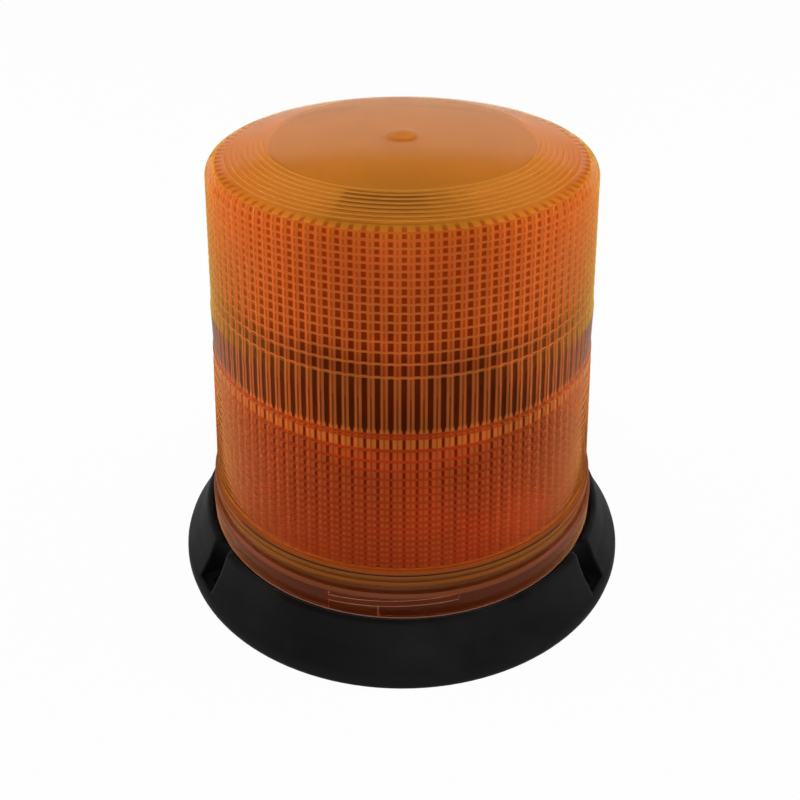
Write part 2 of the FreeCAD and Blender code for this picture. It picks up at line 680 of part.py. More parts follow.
thrust = washer("thrust_washer", dim.journal_rad + dim.run_clear, dim.washer_rad,
                dim.journal_base, dim.washer_thick)
retainer = washer("retaining_ring", dim.journal_rad - dim.ring_groove, dim.ring_rad,
                  dim.groove_base, dim.ring_thick)

# Lamp: holder, metal base, glass envelope, filament and spring clip
holder_top = dim.pillar_height + dim.holder_thick
spigot_rad = dim.pillar_bore - dim.spigot_clear
holder = turned("lamp_holder", [
    (dim.lamp_bore, dim.pillar_height - dim.spigot_length),
    (spigot_rad, dim.pillar_height - dim.spigot_length),
    (spigot_rad, dim.pillar_height),
    (dim.holder_rad, dim.pillar_height),
    (dim.holder_rad, holder_top),
    (dim.lamp_bore, holder_top),
])
lamp_base_top = holder_top + dim.lamp_base_thick
stem_rad = dim.lamp_bore - dim.run_clear
lamp_base = turned("bulb_base", [
    (0, holder_top - dim.lamp_stem),
    (stem_rad, holder_top - dim.lamp_stem),
    (stem_rad, holder_top),
    (dim.lamp_base_rad, holder_top),
    (dim.lamp_base_rad, lamp_base_top),
    (0, lamp_base_top),
])
glass_shoulder = dim.glass_height - dim.glass_rad
glass_in = dim.glass_rad - dim.glass_wall
glass_tip = (0, dim.glass_height)
glass_side = (dim.glass_rad, glass_shoulder)
well_tip = (0, dim.glass_height - dim.glass_wall)
well_side = (glass_in, glass_shoulder)
glass = turned("bulb_glass", [
    (glass_in, lamp_base_top),
    (dim.glass_rad, lamp_base_top),
    glass_side,
    *rounded(glass_side, glass_tip, dim.glass_rad, 1, 3),
    glass_tip,
    well_tip,
    *rounded(well_tip, well_side, glass_in, -1, 3),
    well_side,
])
coil_base = dim.optic_height - dim.filament_length / 2
coil_top = dim.optic_height + dim.filament_length / 2
coil = cylinder("coil", dim.filament_rad, dim.filament_length, z=coil_base)
support_low = cylinder("support_low", dim.support_rad, coil_base - lamp_base_top + 0.5,
                       -dim.filament_rad * 0.5, 0, lamp_base_top)
support_high = cylinder("support_high", dim.support_rad, coil_top - lamp_base_top,
                        dim.support_spread, 0, lamp_base_top)
bridge = block("support_bridge", dim.support_spread, dim.support_rad * 2, dim.support_rad * 2,
               0, 0, coil_top - dim.support_rad * 2)
filament = fuse("filament", coil, support_low, support_high, bridge)

clip_in = dim.lamp_base_rad
clip_out = clip_in + dim.clip_width
clip = turned("lamp_clip", [
    (clip_in, holder_top),
    (clip_out, holder_top),
    (clip_out, lamp_base_top + dim.clip_lip_thick),
    (clip_in - dim.clip_lip, lamp_base_top + dim.clip_lip_thick),
    (clip_in - dim.clip_lip, lamp_base_top),
    (clip_in, lamp_base_top),
])
lead = cylinder("lamp_lead", dim.lead_rad,
                holder_top - dim.lamp_stem - dim.plate_top, z=dim.plate_top)


# Gear train: involute teeth, cut from the same module and pressure angle

def tooth_half_angle(teeth, radius):
    """Half the angle that a tooth takes up at a radius."""
    pitch_rad = DRIVING["gear_module"] * teeth / 2
    slope = math.radians(DRIVING["pressure_angle"])
    base_rad = pitch_rad * math.cos(slope)
    half = math.pi / 2 / teeth - DRIVING["backlash"] / 2 / pitch_rad
    half += math.tan(slope) - slope
    if radius > base_rad:
        roll = math.acos(base_rad / radius)
        half -= math.tan(roll) - roll
    return half


def gear_solid(teeth, thickness, base, phase, bore):
    """Spur gear round the origin with a tooth centred on the phase angle in degrees."""
    module = DRIVING["gear_module"]
    pitch_rad = module * teeth / 2
    base_rad = pitch_rad * math.cos(math.radians(DRIVING["pressure_angle"]))
    tip = pitch_rad + module * DRIVING["addendum"]
    root = pitch_rad - module * DRIVING["dedendum"]
    start = max(root, base_rad)
    flank = [root] if root < base_rad else []
    flank += [start, pitch_rad, tip]
    points = []
    for count in range(teeth):
        middle = math.radians(phase) + 2 * math.pi * count / teeth
        for reach in flank:
            turn = middle - tooth_half_angle(teeth, reach)
            points.append((reach * math.cos(turn), reach * math.sin(turn)))
        for reach in reversed(flank):
            turn = middle + tooth_half_angle(teeth, reach)
            points.append((reach * math.cos(turn), reach * math.sin(turn)))
    corners = [FreeCAD.Vector(x, y, base) for x, y in points]
    face = Part.Face(Part.makePolygon(corners + corners[:1]))
    solid = face.extrude(FreeCAD.Vector(0, 0, thickness))
    hole = Part.makeCylinder(bore, thickness, FreeCAD.Vector(0, 0, base))
    return solid.cut(hole)


def gear(name, teeth, thickness, base, phase, bore, x=0.0, y=0.0):
    wheel = doc.addObject("Part::Feature", name)
    wheel.Shape = gear_solid(teeth, thickness.value, base.value, phase, bore.value)
    return put(wheel, x, y)


module_size = dim.gear_module
idler_offset = module_size * (dim.rotor_teeth + dim.pinion_teeth) / 2
idler_x, idler_y = polar(idler_offset, DRIVING["idler_turn"])
motor_gap = DRIVING["gear_module"] * (DRIVING["wheel_teeth"] + DRIVING["pinion_teeth"]) / 2
motor_turn = DRIVING["idler_turn"] + math.degrees(
    2 * math.asin(motor_gap / 2 / idler_offset.value))
motor_x, motor_y = polar(idler_offset, motor_turn)
motor_way = math.degrees(math.atan2(motor_y.value - idler_y.value,
                                    motor_x.value - idler_x.value))

# Motor: case with domed boss, plastic end cap, shaft and pinion
cap_top = dim.plate_top + dim.end_cap_thick
motor_screw_places = []
for side in (-1.0, 1.0):
    dx, dy = polar(dim.motor_screw_place * side, motor_turn + 90.0)
    motor_screw_places.append((motor_x + dx, motor_y + dy))
shaft_bore = dim.shaft_rad + dim.run_clear
end_cap = turned("motor_end_cap", [
    (0, dim.plate_top),
    (dim.end_cap_rad, dim.plate_top),
    (dim.end_cap_rad, cap_top),
    (0, cap_top),
], motor_x, motor_y)
case_form = turned("motor_case_form", [
    (0, cap_top),
    (dim.motor_rad, cap_top),
    (dim.motor_rad, dim.motor_top - dim.case_round),
    (dim.motor_rad - dim.case_round, dim.motor_top),
    (dim.motor_boss_rad, dim.motor_top),
    (dim.motor_boss_rad, dim.motor_top + dim.motor_boss),
    (0, dim.motor_top + dim.motor_boss),
], motor_x, motor_y)
case_holes = [cylinder("shaft_well", shaft_bore, dim.motor_height / 2 + dim.motor_boss,
                       motor_x, motor_y, dim.motor_top - dim.motor_height / 2)]
plate_cuts = [cylinder("boss_well", dim.motor_boss_rad + dim.run_clear, dim.bracket_thick,
                       motor_x, motor_y, dim.motor_top)]
for index, (x, y) in enumerate(motor_screw_places):
    case_holes.append(cylinder("motor_tap_%d" % index, dim.motor_screw_rad + dim.run_clear,
                               dim.motor_screw_length, x, y,
                               dim.motor_top - dim.motor_screw_length))
    plate_cuts.append(cylinder("motor_fix_%d" % index, dim.motor_screw_rad + dim.run_clear,
                               dim.bracket_thick, x, y, dim.motor_top))
motor_case = cut("motor_case", case_form, *case_holes)
motor_screws = screws("motor_screws", motor_screw_places, dim.motor_screw_rad,
                      dim.motor_screw_head, dim.motor_screw_rise, dim.motor_screw_length,
                      dim.bracket_top)

# Bracket over the motor, on three standoffs, which also carries the idler axle
standoff_places = [polar(getattr(dim, reach), angle) for reach, angle in STANDOFFS]
bracket_pieces = [
    cylinder("bracket_motor", dim.motor_rad + dim.bracket_margin, dim.bracket_thick, motor_x, motor_y,
             dim.motor_top),
    cylinder("bracket_idler", dim.axle_shoulder_rad + dim.bracket_edge, dim.bracket_thick,
             idler_x, idler_y, dim.motor_top),
]
standoff_bodies = []
for index, (x, y) in enumerate(standoff_places):
    bracket_pieces.append(cylinder("bracket_ear_%d" % index, dim.bracket_edge,
                                   dim.bracket_thick, x, y, dim.motor_top))
    standoff_bodies.append(washer("standoff_%d" % index, dim.screw_rad + dim.run_clear,
                                  dim.standoff_rad, dim.plate_top, dim.motor_height, x, y))
    plate_cuts.append(cylinder("ear_hole_%d" % index, dim.screw_rad + dim.run_clear,
                               dim.bracket_thick, x, y, dim.motor_top))
bracket_pieces.append(padded("bracket_web", [
    standoff_places[2], (idler_x, idler_y), (motor_x, motor_y), standoff_places[1],
    standoff_places[0],
], dim.bracket_thick, dim.motor_top))
plate_cuts.append(cylinder("axle_hole", dim.axle_rad, dim.bracket_thick, idler_x, idler_y,
                           dim.motor_top))
bracket = cut("motor_bracket", fuse("bracket_blank", *bracket_pieces), *plate_cuts)
standoffs = fuse("bracket_standoffs", *standoff_bodies)
bracket_screws = screws("bracket_screws", standoff_places, dim.screw_rad,
                        dim.standoff_rad - dim.bracket_screw_inset, dim.bracket_screw_rise,
                        dim.bracket_screw_length, dim.bracket_top)

# Heights of the train, one above the other
wheel_base = dim.bracket_top + dim.wheel_lift
wheel_top = wheel_base + dim.wheel_thick
gear_base = wheel_top + dim.gear_gap
gear_top = gear_base + dim.gear_thick
idler_top = gear_top + dim.pinion_extra
shoulder_top = wheel_base - dim.end_clear
clip_base = idler_top + dim.end_clear
clip_top = clip_base + dim.e_clip_thick
axle_groove = dim.axle_rad - dim.clip_groove
axle = turned("idler_axle", [
    (0, dim.motor_top - dim.axle_tail),
    (dim.axle_shoulder_rad, dim.motor_top - dim.axle_tail),
    (dim.axle_shoulder_rad, dim.motor_top),
    (dim.axle_rad, dim.motor_top),
    (dim.axle_rad, dim.bracket_top),
    (dim.axle_shoulder_rad, dim.bracket_top),
    (dim.axle_shoulder_rad, shoulder_top),
    (dim.axle_rad, shoulder_top),
    (dim.axle_rad, clip_base),
    (axle_groove, clip_base),
    (axle_groove, clip_top),
    (dim.axle_rad, clip_top),
    (dim.axle_rad, clip_top + dim.axle_tail),
    (0, clip_top + dim.axle_tail),
], idler_x, idler_y)
e_clip = washer("idler_clip", axle_groove, dim.e_clip_rad, clip_base, dim.e_clip_thick,
                idler_x, idler_y)

idler_bore = dim.axle_rad + dim.run_clear
wheel_part = gear("idler_wheel_teeth", DRIVING["wheel_teeth"], dim.wheel_thick, wheel_base,
                  motor_way, idler_bore, idler_x, idler_y)
pinion_phase = DRIVING["idler_turn"] + 180.0 + 180.0 / DRIVING["pinion_teeth"]
pinion_part = gear("idler_pinion_teeth", DRIVING["pinion_teeth"], idler_top - wheel_top,
                   wheel_top, pinion_phase, idler_bore, idler_x, idler_y)
idler = fuse("idler_gear", wheel_part, pinion_part)

shaft_base = dim.motor_top - dim.motor_height / 2 + dim.end_clear
shaft_top = wheel_top + dim.gear_gap / 2
shaft = cylinder("motor_shaft", dim.shaft_rad, shaft_top - shaft_base, motor_x, motor_y,
                 shaft_base)
drive = gear("drive_pinion", DRIVING["pinion_teeth"], dim.wheel_thick + dim.end_clear * 2,
             wheel_base - dim.end_clear, motor_way + 180.0 + 180.0 / DRIVING["pinion_teeth"],
             dim.shaft_rad, motor_x, motor_y)

# Rotor: gear on a bush, turntable with arm, mirror and counterweight
bush = washer("rotor_bush", dim.journal_rad + dim.run_clear, dim.bush_rad, dim.bush_base,
              dim.bush_height)
rotor_teeth = gear("rotor_teeth_ring", DRIVING["rotor_teeth"], dim.gear_thick, gear_base,
                   DRIVING["idler_turn"], dim.bush_rad)
hub_top = dim.bush_base + dim.hub_height
rotor_hub = washer("rotor_hub", dim.bush_rad, dim.hub_rad, dim.bush_base, dim.hub_height)
table_base = gear_top
table_top = table_base + dim.turntable_thick
table_screw_places = [polar(dim.table_screw_circle, a) for a in (0.0, 180.0)]
gear_holes = []
table_holes = [cylinder("table_hub_hole", dim.hub_rad + dim.run_clear, dim.turntable_thick,
                        z=table_base)]
for index, (x, y) in enumerate(table_screw_places):
    gear_holes.append(cylinder("gear_tap_%d" % index, dim.screw_rad + dim.run_clear,
                               dim.gear_thick, x, y, gear_base))
    table_holes.append(cylinder("table_fix_%d" % index, dim.screw_rad + dim.run_clear,
                                dim.turntable_thick, x, y, table_base))
rotor_gear = cut("rotor_gear", fuse("rotor_gear_blank", rotor_teeth, rotor_hub), *gear_holes)

arm_height = dim.arm_top - table_base
table_disc = cylinder("turntable_disc", dim.turntable_rad, dim.turntable_thick, z=table_base)
arm = block("turntable_arm", dim.arm_thick, dim.arm_width, arm_height, 0, dim.arm_place,
            table_base, 90.0)
mirror_screw_places = (-1.0, 1.0)
for index, side in enumerate(mirror_screw_places):
    hole = cylinder("arm_hole_%d" % index, dim.screw_rad + dim.run_clear, dim.arm_thick)
    put(hole, 0, dim.arm_place + dim.arm_thick,
        dim.optic_height + dim.mirror_screw_place * side, 90.0, (1, 0, 0))
    table_holes.append(hole)
reflector_bracket = cut("reflector_bracket", fuse("bracket_sheet", table_disc, arm),
                        *table_holes)
table_screws = screws("turntable_screws", table_screw_places, dim.screw_rad,
                      dim.screw_head_rad, dim.screw_head, dim.table_screw_length, table_top)


def parabola(radius, lift):
    """Point of the mirror curve, which opens towards -Y with its focus on the axis."""
    return dim.focal + lift - radius * radius / (dim.focal * 4)


MIRROR_BANDS = 5
mirror_radii = [dim.mirror_rad * count / MIRROR_BANDS for count in range(MIRROR_BANDS + 1)]
rim_place = parabola(dim.mirror_rad, 0.0)
mirror_profile = [(r, parabola(r, 0.0)) for r in mirror_radii]
mirror_profile += [(dim.rim_rad, rim_place), (dim.rim_rad, rim_place + dim.mirror_wall)]
mirror_profile += [(r, parabola(r, dim.mirror_wall)) for r in reversed(mirror_radii)]
mirror_form = turned("mirror_form", mirror_profile, z=dim.optic_height, role="XY_Plane")
mirror_boss = cylinder("mirror_boss", dim.mirror_boss_rad,
                       dim.arm_place - dim.focal - dim.mirror_wall * 0.4)
put(mirror_boss, 0, dim.arm_place, dim.optic_height, 90.0, (1, 0, 0))
notch_step = dim.groove_top + dim.ring_clear
notch_top = holder_top + dim.lamp_clear
mirror_cuts = [
    cylinder("table_room", dim.rim_rad + dim.mirror_wall,
             table_top - dim.journal_base + dim.table_clear, z=dim.journal_base),
    cylinder("notch_low", dim.mirror_notch_low, notch_step - dim.journal_base,
             z=dim.journal_base),
    cylinder("notch_high", dim.mirror_notch_high, notch_top - notch_step, z=notch_step),
]
mirror_screw_bodies = []
screw_reach = dim.arm_place - dim.focal - dim.mirror_wall + 1.0
for index, side in enumerate(mirror_screw_places):
    height = dim.optic_height + dim.mirror_screw_place * side
    hole = cylinder("mirror_tap_%d" % index, dim.screw_rad + dim.run_clear, screw_reach)
    mirror_cuts.append(put(hole, 0, dim.arm_place, height, 90.0, (1, 0, 0)))
    bolt = turned("mirror_screw_%d" % index, [
        (0, -screw_reach), (dim.screw_rad, -screw_reach), (dim.screw_rad, dim.arm_thick),
        (dim.screw_head_rad, dim.arm_thick),
        (dim.screw_head_rad * 0.72, dim.arm_thick + dim.screw_head),
        (0, dim.arm_thick + dim.screw_head),
    ], 0, dim.arm_place, height, "XZ_Plane", -90.0, (1, 0, 0))
    mirror_screw_bodies.append(bolt)
reflector = cut("reflector", fuse("mirror_blank", mirror_form, mirror_boss), *mirror_cuts)
reflector_screws = fuse("reflector_screws", *mirror_screw_bodies)

weight_start = FRONT - DRIVING["weight_angle"] / 2
weight_outer = cylinder("weight_outer", dim.weight_out_rad, dim.weight_height, z=table_top,
                        angle=dim.weight_angle, turn=weight_start)
weight_inner = cylinder("weight_inner", dim.weight_in_rad, dim.weight_height, z=table_top)
weight = cut("counterweight", weight_outer, weight_inner)

# Terminal block and suppression capacitor on the chassis
block_x, block_y = polar(dim.block_place, BLOCK_ANGLE)
terminal_box = block("terminal_box", dim.block_width, dim.block_length, dim.block_height,
                     block_x, block_y, dim.plate_top, BLOCK_ANGLE)
terminal_wells = []
terminal_screw_bodies = []
for index, side in enumerate((-1.0, 0.0, 1.0)):
    across_x, across_y = polar(dim.block_screw_pitch * side, BLOCK_ANGLE + 90.0)
    inwards_x, inwards_y = polar(dim.block_width / 2, BLOCK_ANGLE)
    x = block_x + across_x + inwards_x
    y = block_y + across_y + inwards_y
    top = dim.plate_top + dim.block_height
    terminal_wells.append(cylinder("terminal_well_%d" % index, dim.block_screw_rad + dim.well_clear,
                                   dim.well_depth, x, y, top - dim.well_depth))
    terminal_screw_bodies.append(cylinder("terminal_screw_%d" % index, dim.block_screw_rad,
                                          dim.block_screw_rise, x, y,
                                          top - dim.well_depth))
terminal_block = cut("terminal_block", terminal_box, *terminal_wells)
terminal_screws = fuse("terminal_screws", *terminal_screw_bodies)

capacitor_x, capacitor_y = polar(dim.capacitor_place, CAPACITOR_ANGLE)
capacitor = turned("suppression_capacitor", [
    (0, dim.plate_top),
    (dim.capacitor_rad - dim.capacitor_round, dim.plate_top),
    (dim.capacitor_rad, dim.plate_top + dim.capacitor_round),
    (dim.capacitor_rad, dim.plate_top + dim.capacitor_height - dim.capacitor_round),
    (dim.capacitor_rad - dim.capacitor_round, dim.plate_top + dim.capacitor_height),
    (0, dim.plate_top + dim.capacitor_height),
], capacitor_x, capacitor_y)

SUBPARTS = [
    base, gasket, seal, dome, chassis, chassis_screws, grommet, plug, pillar, pillar_screws,
    thrust, retainer, holder, lamp_base, glass, filament, clip, lead, end_cap, motor_case,
    motor_screws, bracket, standoffs, bracket_screws, axle, e_clip, idler, shaft, drive,
    bush, rotor_gear, reflector_bracket, table_screws, reflector, reflector_screws, weight,
    terminal_block, terminal_screws, capacitor,
]

doc.recompute()
for thing in doc.Objects:
    if "Invalid" in thing.State or "Error" in thing.State:
        raise RuntimeError("%s did not recompute: %s" % (thing.Name, thing.State))
for subpart in SUBPARTS:
    shape = subpart.Shape
    if shape.isNull() or not shape.isValid():
        raise RuntimeError("%s has no valid shape" % subpart.Name)
for subpart in SUBPARTS:
    subpart.Shape.exportStep(os.path.join("parts", subpart.Label + ".step"))
    print("%-24s solids %d volume %.1f" % (
        subpart.Label, len(subpart.Shape.Solids), subpart.Shape.Volume))
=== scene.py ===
# %% [markdown]
# # A rotating beacon
#
# The object is an amber warning beacon. A black foot carries a ribbed dome of clear amber
# plastic, and inside the dome a motor turns a mirror round a lamp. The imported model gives
# every solid in its place, so this script only adds looks: a finer dome, the finishes of
# all the pieces, the floor, the light and the camera.

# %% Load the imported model
import json
import math

import bpy
import numpy as np
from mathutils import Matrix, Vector


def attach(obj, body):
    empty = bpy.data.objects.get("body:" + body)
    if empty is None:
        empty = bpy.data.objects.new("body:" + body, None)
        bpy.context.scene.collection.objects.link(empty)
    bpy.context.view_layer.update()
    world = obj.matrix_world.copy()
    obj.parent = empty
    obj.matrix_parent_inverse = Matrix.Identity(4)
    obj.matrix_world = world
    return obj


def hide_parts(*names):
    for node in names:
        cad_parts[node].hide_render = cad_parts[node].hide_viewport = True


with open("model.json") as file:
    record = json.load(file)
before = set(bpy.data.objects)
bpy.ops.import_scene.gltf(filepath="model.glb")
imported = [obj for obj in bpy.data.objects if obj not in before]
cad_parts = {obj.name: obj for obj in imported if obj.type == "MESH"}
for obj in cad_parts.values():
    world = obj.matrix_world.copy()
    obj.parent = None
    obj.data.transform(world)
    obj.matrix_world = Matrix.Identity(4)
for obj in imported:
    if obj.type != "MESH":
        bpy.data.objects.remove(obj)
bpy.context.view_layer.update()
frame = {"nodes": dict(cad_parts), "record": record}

NODES = frame["nodes"]
MM = 0.001
MM_PER_METRE = 1000.0
print("CAD nodes", len(NODES))

# %% [markdown]
# ## Camera
#
# The photograph was taken from in front and about 33 degrees above. The foot, the beads
# and the roof rings are circles, so their ovals in the picture fix the camera: its height,
# its distance and its lens. A camera could also be placed by eye, but then no edge would
# fall where it does in the picture.

# %% Camera
CAMERA_PLACE = (0.0, -0.3027, 0.2580)
CAMERA_TILT = 56.57
CAMERA_TURN = 0.131
LENS_MM = 45.16
SENSOR_MM = 36.0

camera_data = bpy.data.cameras.new("camera")
camera_data.lens = LENS_MM
camera_data.sensor_width = SENSOR_MM
camera = bpy.data.objects.new("camera", camera_data)
camera.location = CAMERA_PLACE
camera.rotation_euler = (math.radians(CAMERA_TILT), 0.0, math.radians(CAMERA_TURN))
bpy.context.scene.collection.objects.link(camera)
bpy.context.scene.camera = camera
bpy.context.scene.view_settings.view_transform = "Standard"
print("camera", tuple(camera.location))

# %% [markdown]
# ## Node helpers
#
# A material here is a chain of nodes. Written out, each node takes three or four lines, so
# a few helpers keep the chains short: one adds a node and fills its sockets, and the others
# stand for the kinds of node that come back all the time.

# %% Materials and nodes
WHITE = (1, 1, 1, 1)


def add(tree, kind, inputs=None, **settings):
    """Adds a node, sets its properties, and fills or links its inputs."""
    node = tree.nodes.new(kind)
    for name, value in settings.items():
        setattr(node, name, value)
    for name, value in (inputs or {}).items():
        socket = node.inputs[name]
        if isinstance(value, bpy.types.NodeSocket):
            tree.links.new(value, socket)
        else:
            socket.default_value = value
    return node


def new_material(name):
    """A node material with nothing in it, and its tree."""
    material = bpy.data.materials.new(name)
    material.use_nodes = True
    material.node_tree.nodes.clear()
    return material, material.node_tree


def paint(piece, material):
    """Gives every material slot of a piece this material."""
    if not piece.material_slots:
        piece.data.materials.append(material)
    for place in piece.material_slots:
        place.material = material


print("first helpers", add.__name__, new_material.__name__, paint.__name__)

# %% Sums, steps and blends
def maths(tree, operation, *values):
    """The result of one Math node."""
    return add(tree, "ShaderNodeMath", dict(enumerate(values)), operation=operation).outputs[0]


def one_minus(tree, value):
    """Turns a mask over."""
    return maths(tree, "SUBTRACT", 1.0, value)


def soft_step(tree, value, low, high, first=0.0, last=1.0):
    """Goes smoothly from first to last while a value goes from low to high."""
    node = add(tree, "ShaderNodeMapRange", {
        "Value": value, "From Min": low, "From Max": high, "To Min": first, "To Max": last},
        interpolation_type="SMOOTHSTEP")
    return node.outputs["Result"]


def blend(tree, amount, first, second):
    """Mixes two colours."""
    node = add(tree, "ShaderNodeMix", data_type="RGBA")
    for number, value in ((0, amount), (6, first), (7, second)):
        if isinstance(value, bpy.types.NodeSocket):
            tree.links.new(value, node.inputs[number])
        else:
            node.inputs[number].default_value = value if number == 0 else (*value, 1.0)
    return node.outputs[2]


def object_place(tree):
    """The place of a point on its piece, in metres."""
    return add(tree, "ShaderNodeTexCoord").outputs["Object"]


def group_tree(name, inputs, outputs):
    """An empty node group with float or colour sockets."""
    tree = bpy.data.node_groups.new(name, "ShaderNodeTree")
    for label, value in inputs.items():
        kind = "NodeSocketFloat" if isinstance(value, float) else "NodeSocketColor"
        socket = tree.interface.new_socket(label, in_out="INPUT", socket_type=kind)
        socket.default_value = value
    for label, kind in outputs.items():
        tree.interface.new_socket(label, in_out="OUTPUT", socket_type=kind)
    return tree, tree.nodes.new("NodeGroupInput"), tree.nodes.new("NodeGroupOutput")


print("node helpers", [helper.__name__ for helper in (maths, soft_step, blend, group_tree)])

# %% [markdown]
# ## Floor, background and light
#
# A product picture like this one is taken on white paper, with large soft lamps. The
# paper could be lit until it clips to white, but that would also bleach the beacon. So the
# lamps stay at a plain level, and the floor and the sky show white only to the camera and
# to reflections. In reflections the sky is white only low down, before and behind the
# beacon, because an all-white room would turn the black foot grey.

# %% Sky
SKY_DIM = 0.45
SKY_WHITE = 0.8
# where the white of reflections fades, upwards and sideways, and how dim it gets
WHITE_UP, DIM_UP = (0.34, 0.41), 0.05
WHITE_ACROSS, DIM_ACROSS = (0.20, 0.34), 0.2


def white_seen(tree, gloss_share):
    """One for rays from the camera and through clear plastic, and less for gloss."""
    path = add(tree, "ShaderNodeLightPath").outputs
    gloss = maths(tree, "MULTIPLY", path["Is Glossy Ray"], gloss_share)
    seen = maths(tree, "MAXIMUM", path["Is Camera Ray"], gloss)
    return maths(tree, "MAXIMUM", seen, path["Is Transmission Ray"])


world = bpy.data.worlds.new("studio")
bpy.context.scene.world = world
world.use_nodes = True
sky = world.node_tree
sky.nodes.clear()
dim_sky = add(sky, "ShaderNodeBackground", {"Color": WHITE, "Strength": SKY_DIM})
way = add(sky, "ShaderNodeTexCoord").outputs["Generated"]
direction = add(sky, "ShaderNodeSeparateXYZ", {0: way}).outputs
across = maths(sky, "ABSOLUTE", direction["X"])
reflected = maths(sky, "MULTIPLY",
                  soft_step(sky, direction["Z"], *WHITE_UP, SKY_WHITE, DIM_UP),
                  soft_step(sky, across, *WHITE_ACROSS, 1.0, DIM_ACROSS))
camera_ray = add(sky, "ShaderNodeLightPath").outputs["Is Camera Ray"]
bright = maths(sky, "MAXIMUM", reflected, camera_ray)
seen_sky = add(sky, "ShaderNodeBackground", {"Color": WHITE, "Strength": bright})
sky_mix = add(sky, "ShaderNodeMixShader", {
    0: white_seen(sky, 1.0), 1: dim_sky.outputs[0], 2: seen_sky.outputs[0]})
add(sky, "ShaderNodeOutputWorld", {"Surface": sky_mix.outputs[0]})
print("sky nodes", len(sky.nodes))

# %% Floor
FLOOR_REACH = 3.0
FLOOR_TONE, FLOOR_TONE_IN_GLOSS = 0.6, 0.2
FLOOR_GLOSS = 0.1
FLOOR_GLOW = 0.97

floor_paper, tree = new_material("studio_paper")
glossy_ray = add(tree, "ShaderNodeLightPath").outputs["Is Glossy Ray"]
own_tone = add(tree, "ShaderNodeMapRange", {
    "Value": glossy_ray, "To Min": FLOOR_TONE, "To Max": FLOOR_TONE_IN_GLOSS})
own = add(tree, "ShaderNodeBsdfDiffuse", {"Color": own_tone.outputs[0]})
glow = add(tree, "ShaderNodeEmission", {"Color": WHITE, "Strength": 1.0})
seen = add(tree, "ShaderNodeMixShader", {0: FLOOR_GLOW, 1: own.outputs[0], 2: glow.outputs[0]})
floor_mix = add(tree, "ShaderNodeMixShader", {
    0: white_seen(tree, FLOOR_GLOSS), 1: own.outputs[0], 2: seen.outputs[0]})
add(tree, "ShaderNodeOutputMaterial", {"Surface": floor_mix.outputs[0]})

corners = [(x * FLOOR_REACH, y * FLOOR_REACH, 0.0)
           for x, y in ((-1, -1), (1, -1), (1, 1), (-1, 1))]
floor_mesh = bpy.data.meshes.new("floor")
floor_mesh.from_pydata(corners, [], [(0, 1, 2, 3)])
floor = bpy.data.objects.new("floor", floor_mesh)
bpy.context.scene.collection.objects.link(floor)
paint(floor, floor_paper)
print("floor corners", corners)

# %% Lamps
MIDDLE = (0, 0, 0.07)
# place, width and power of each soft lamp
LAMPS = {
    "lamp_left": ((-0.85, 0.12, 0.42), 0.6, 4.8),
    "lamp_right": ((0.85, 0.12, 0.42), 0.6, 4.8),
    "lamp_front": ((0.0, -0.85, 0.95), 0.8, 4.6),
    "rim_left": ((-0.95, 1.2, 0.3), 0.7, 0.9),
    "rim_right": ((0.95, 1.2, 0.3), 0.7, 0.9),
}


def softbox(name, place, wide, power):
    """A square soft lamp that faces the beacon. Only a rim lamp shows as a glint."""
    data = bpy.data.lights.new(name, "AREA")
    data.shape = "SQUARE"
    data.size = wide
    data.energy = power
    lamp = bpy.data.objects.new(name, data)
    lamp.location = place
    lamp.rotation_euler = (Vector(MIDDLE) - Vector(place)).to_track_quat("-Z", "Y").to_euler()
    lamp.visible_glossy = name.startswith("rim")
    bpy.context.scene.collection.objects.link(lamp)


for name, values in LAMPS.items():
    softbox(name, *values)

# %% [markdown]
# ## Dome: the form
#
# The real dome is one moulding of clear amber plastic. Ring-shaped prisms on its outside
# gather the light upwards and downwards into a flat beam, and upright ribs on its inside
# spread the beam sideways. A bump texture could suggest both, but their edges have to
# catch the light from every side, so they are real geometry: one profile turned round the
# axis, with the ribs added to the inner rings.
#
# A point of the profile is its radius, its height and the finish of the faces between it
# and the next point. Lengths are in millimetres and angles in degrees.

# %% Finishes of the dome's faces
(CLEAR, RIBBED, LIT_EDGE, ROOF, SKIRT, SEAT, LIT_LEDGE, BEAD, BAND, HOOP, PRISM, RIM, NUB,
 LOW_PRISM) = range(14)
print("finishes of the dome", LOW_PRISM + 1)

# %% Wall of the dome
OPTIC = 100.0
WALL_LOW = (67.9, 37.0)
WALL_BELT = 63.8
WALL_HIGH = (61.1, 147.0)


def wall_rad(z):
    """Radius of the dome's outside at a height."""
    if z < OPTIC:
        return np.interp(z, (WALL_LOW[1], OPTIC), (WALL_LOW[0], WALL_BELT))
    return np.interp(z, (OPTIC, WALL_HIGH[1]), (WALL_BELT, WALL_HIGH[0]))


def arc(centre, half_wide, half_high, start, end, steps, finish):
    """Points on an oval arc in the profile, with angles from straight out."""
    points = []
    for angle in np.radians(np.linspace(start, end, steps + 1)):
        points.append((centre[0] + half_wide * math.cos(angle),
                       centre[1] + half_high * math.sin(angle), finish))
    return points


print("wall radius at the optic plane", wall_rad(OPTIC))

# %% Roof of the dome
NUB_PROFILE = ((0.0, 156.9), (1.6, 156.87), (2.3, 156.72), (2.9, 156.45), (3.5, 156.22))
NUB_FOOT = (4.4, 156.09)
CROWN_TOP, CROWN_DROP = 156.1, 1.1
CROWN_RINGS = np.linspace(8.0, 41.5, 8)
DISC_RAD = 42.25
STEPS, STEPS_RAD = 8, 56.2
STEPS_TOP, STEPS_LOW = 155.0, 150.8
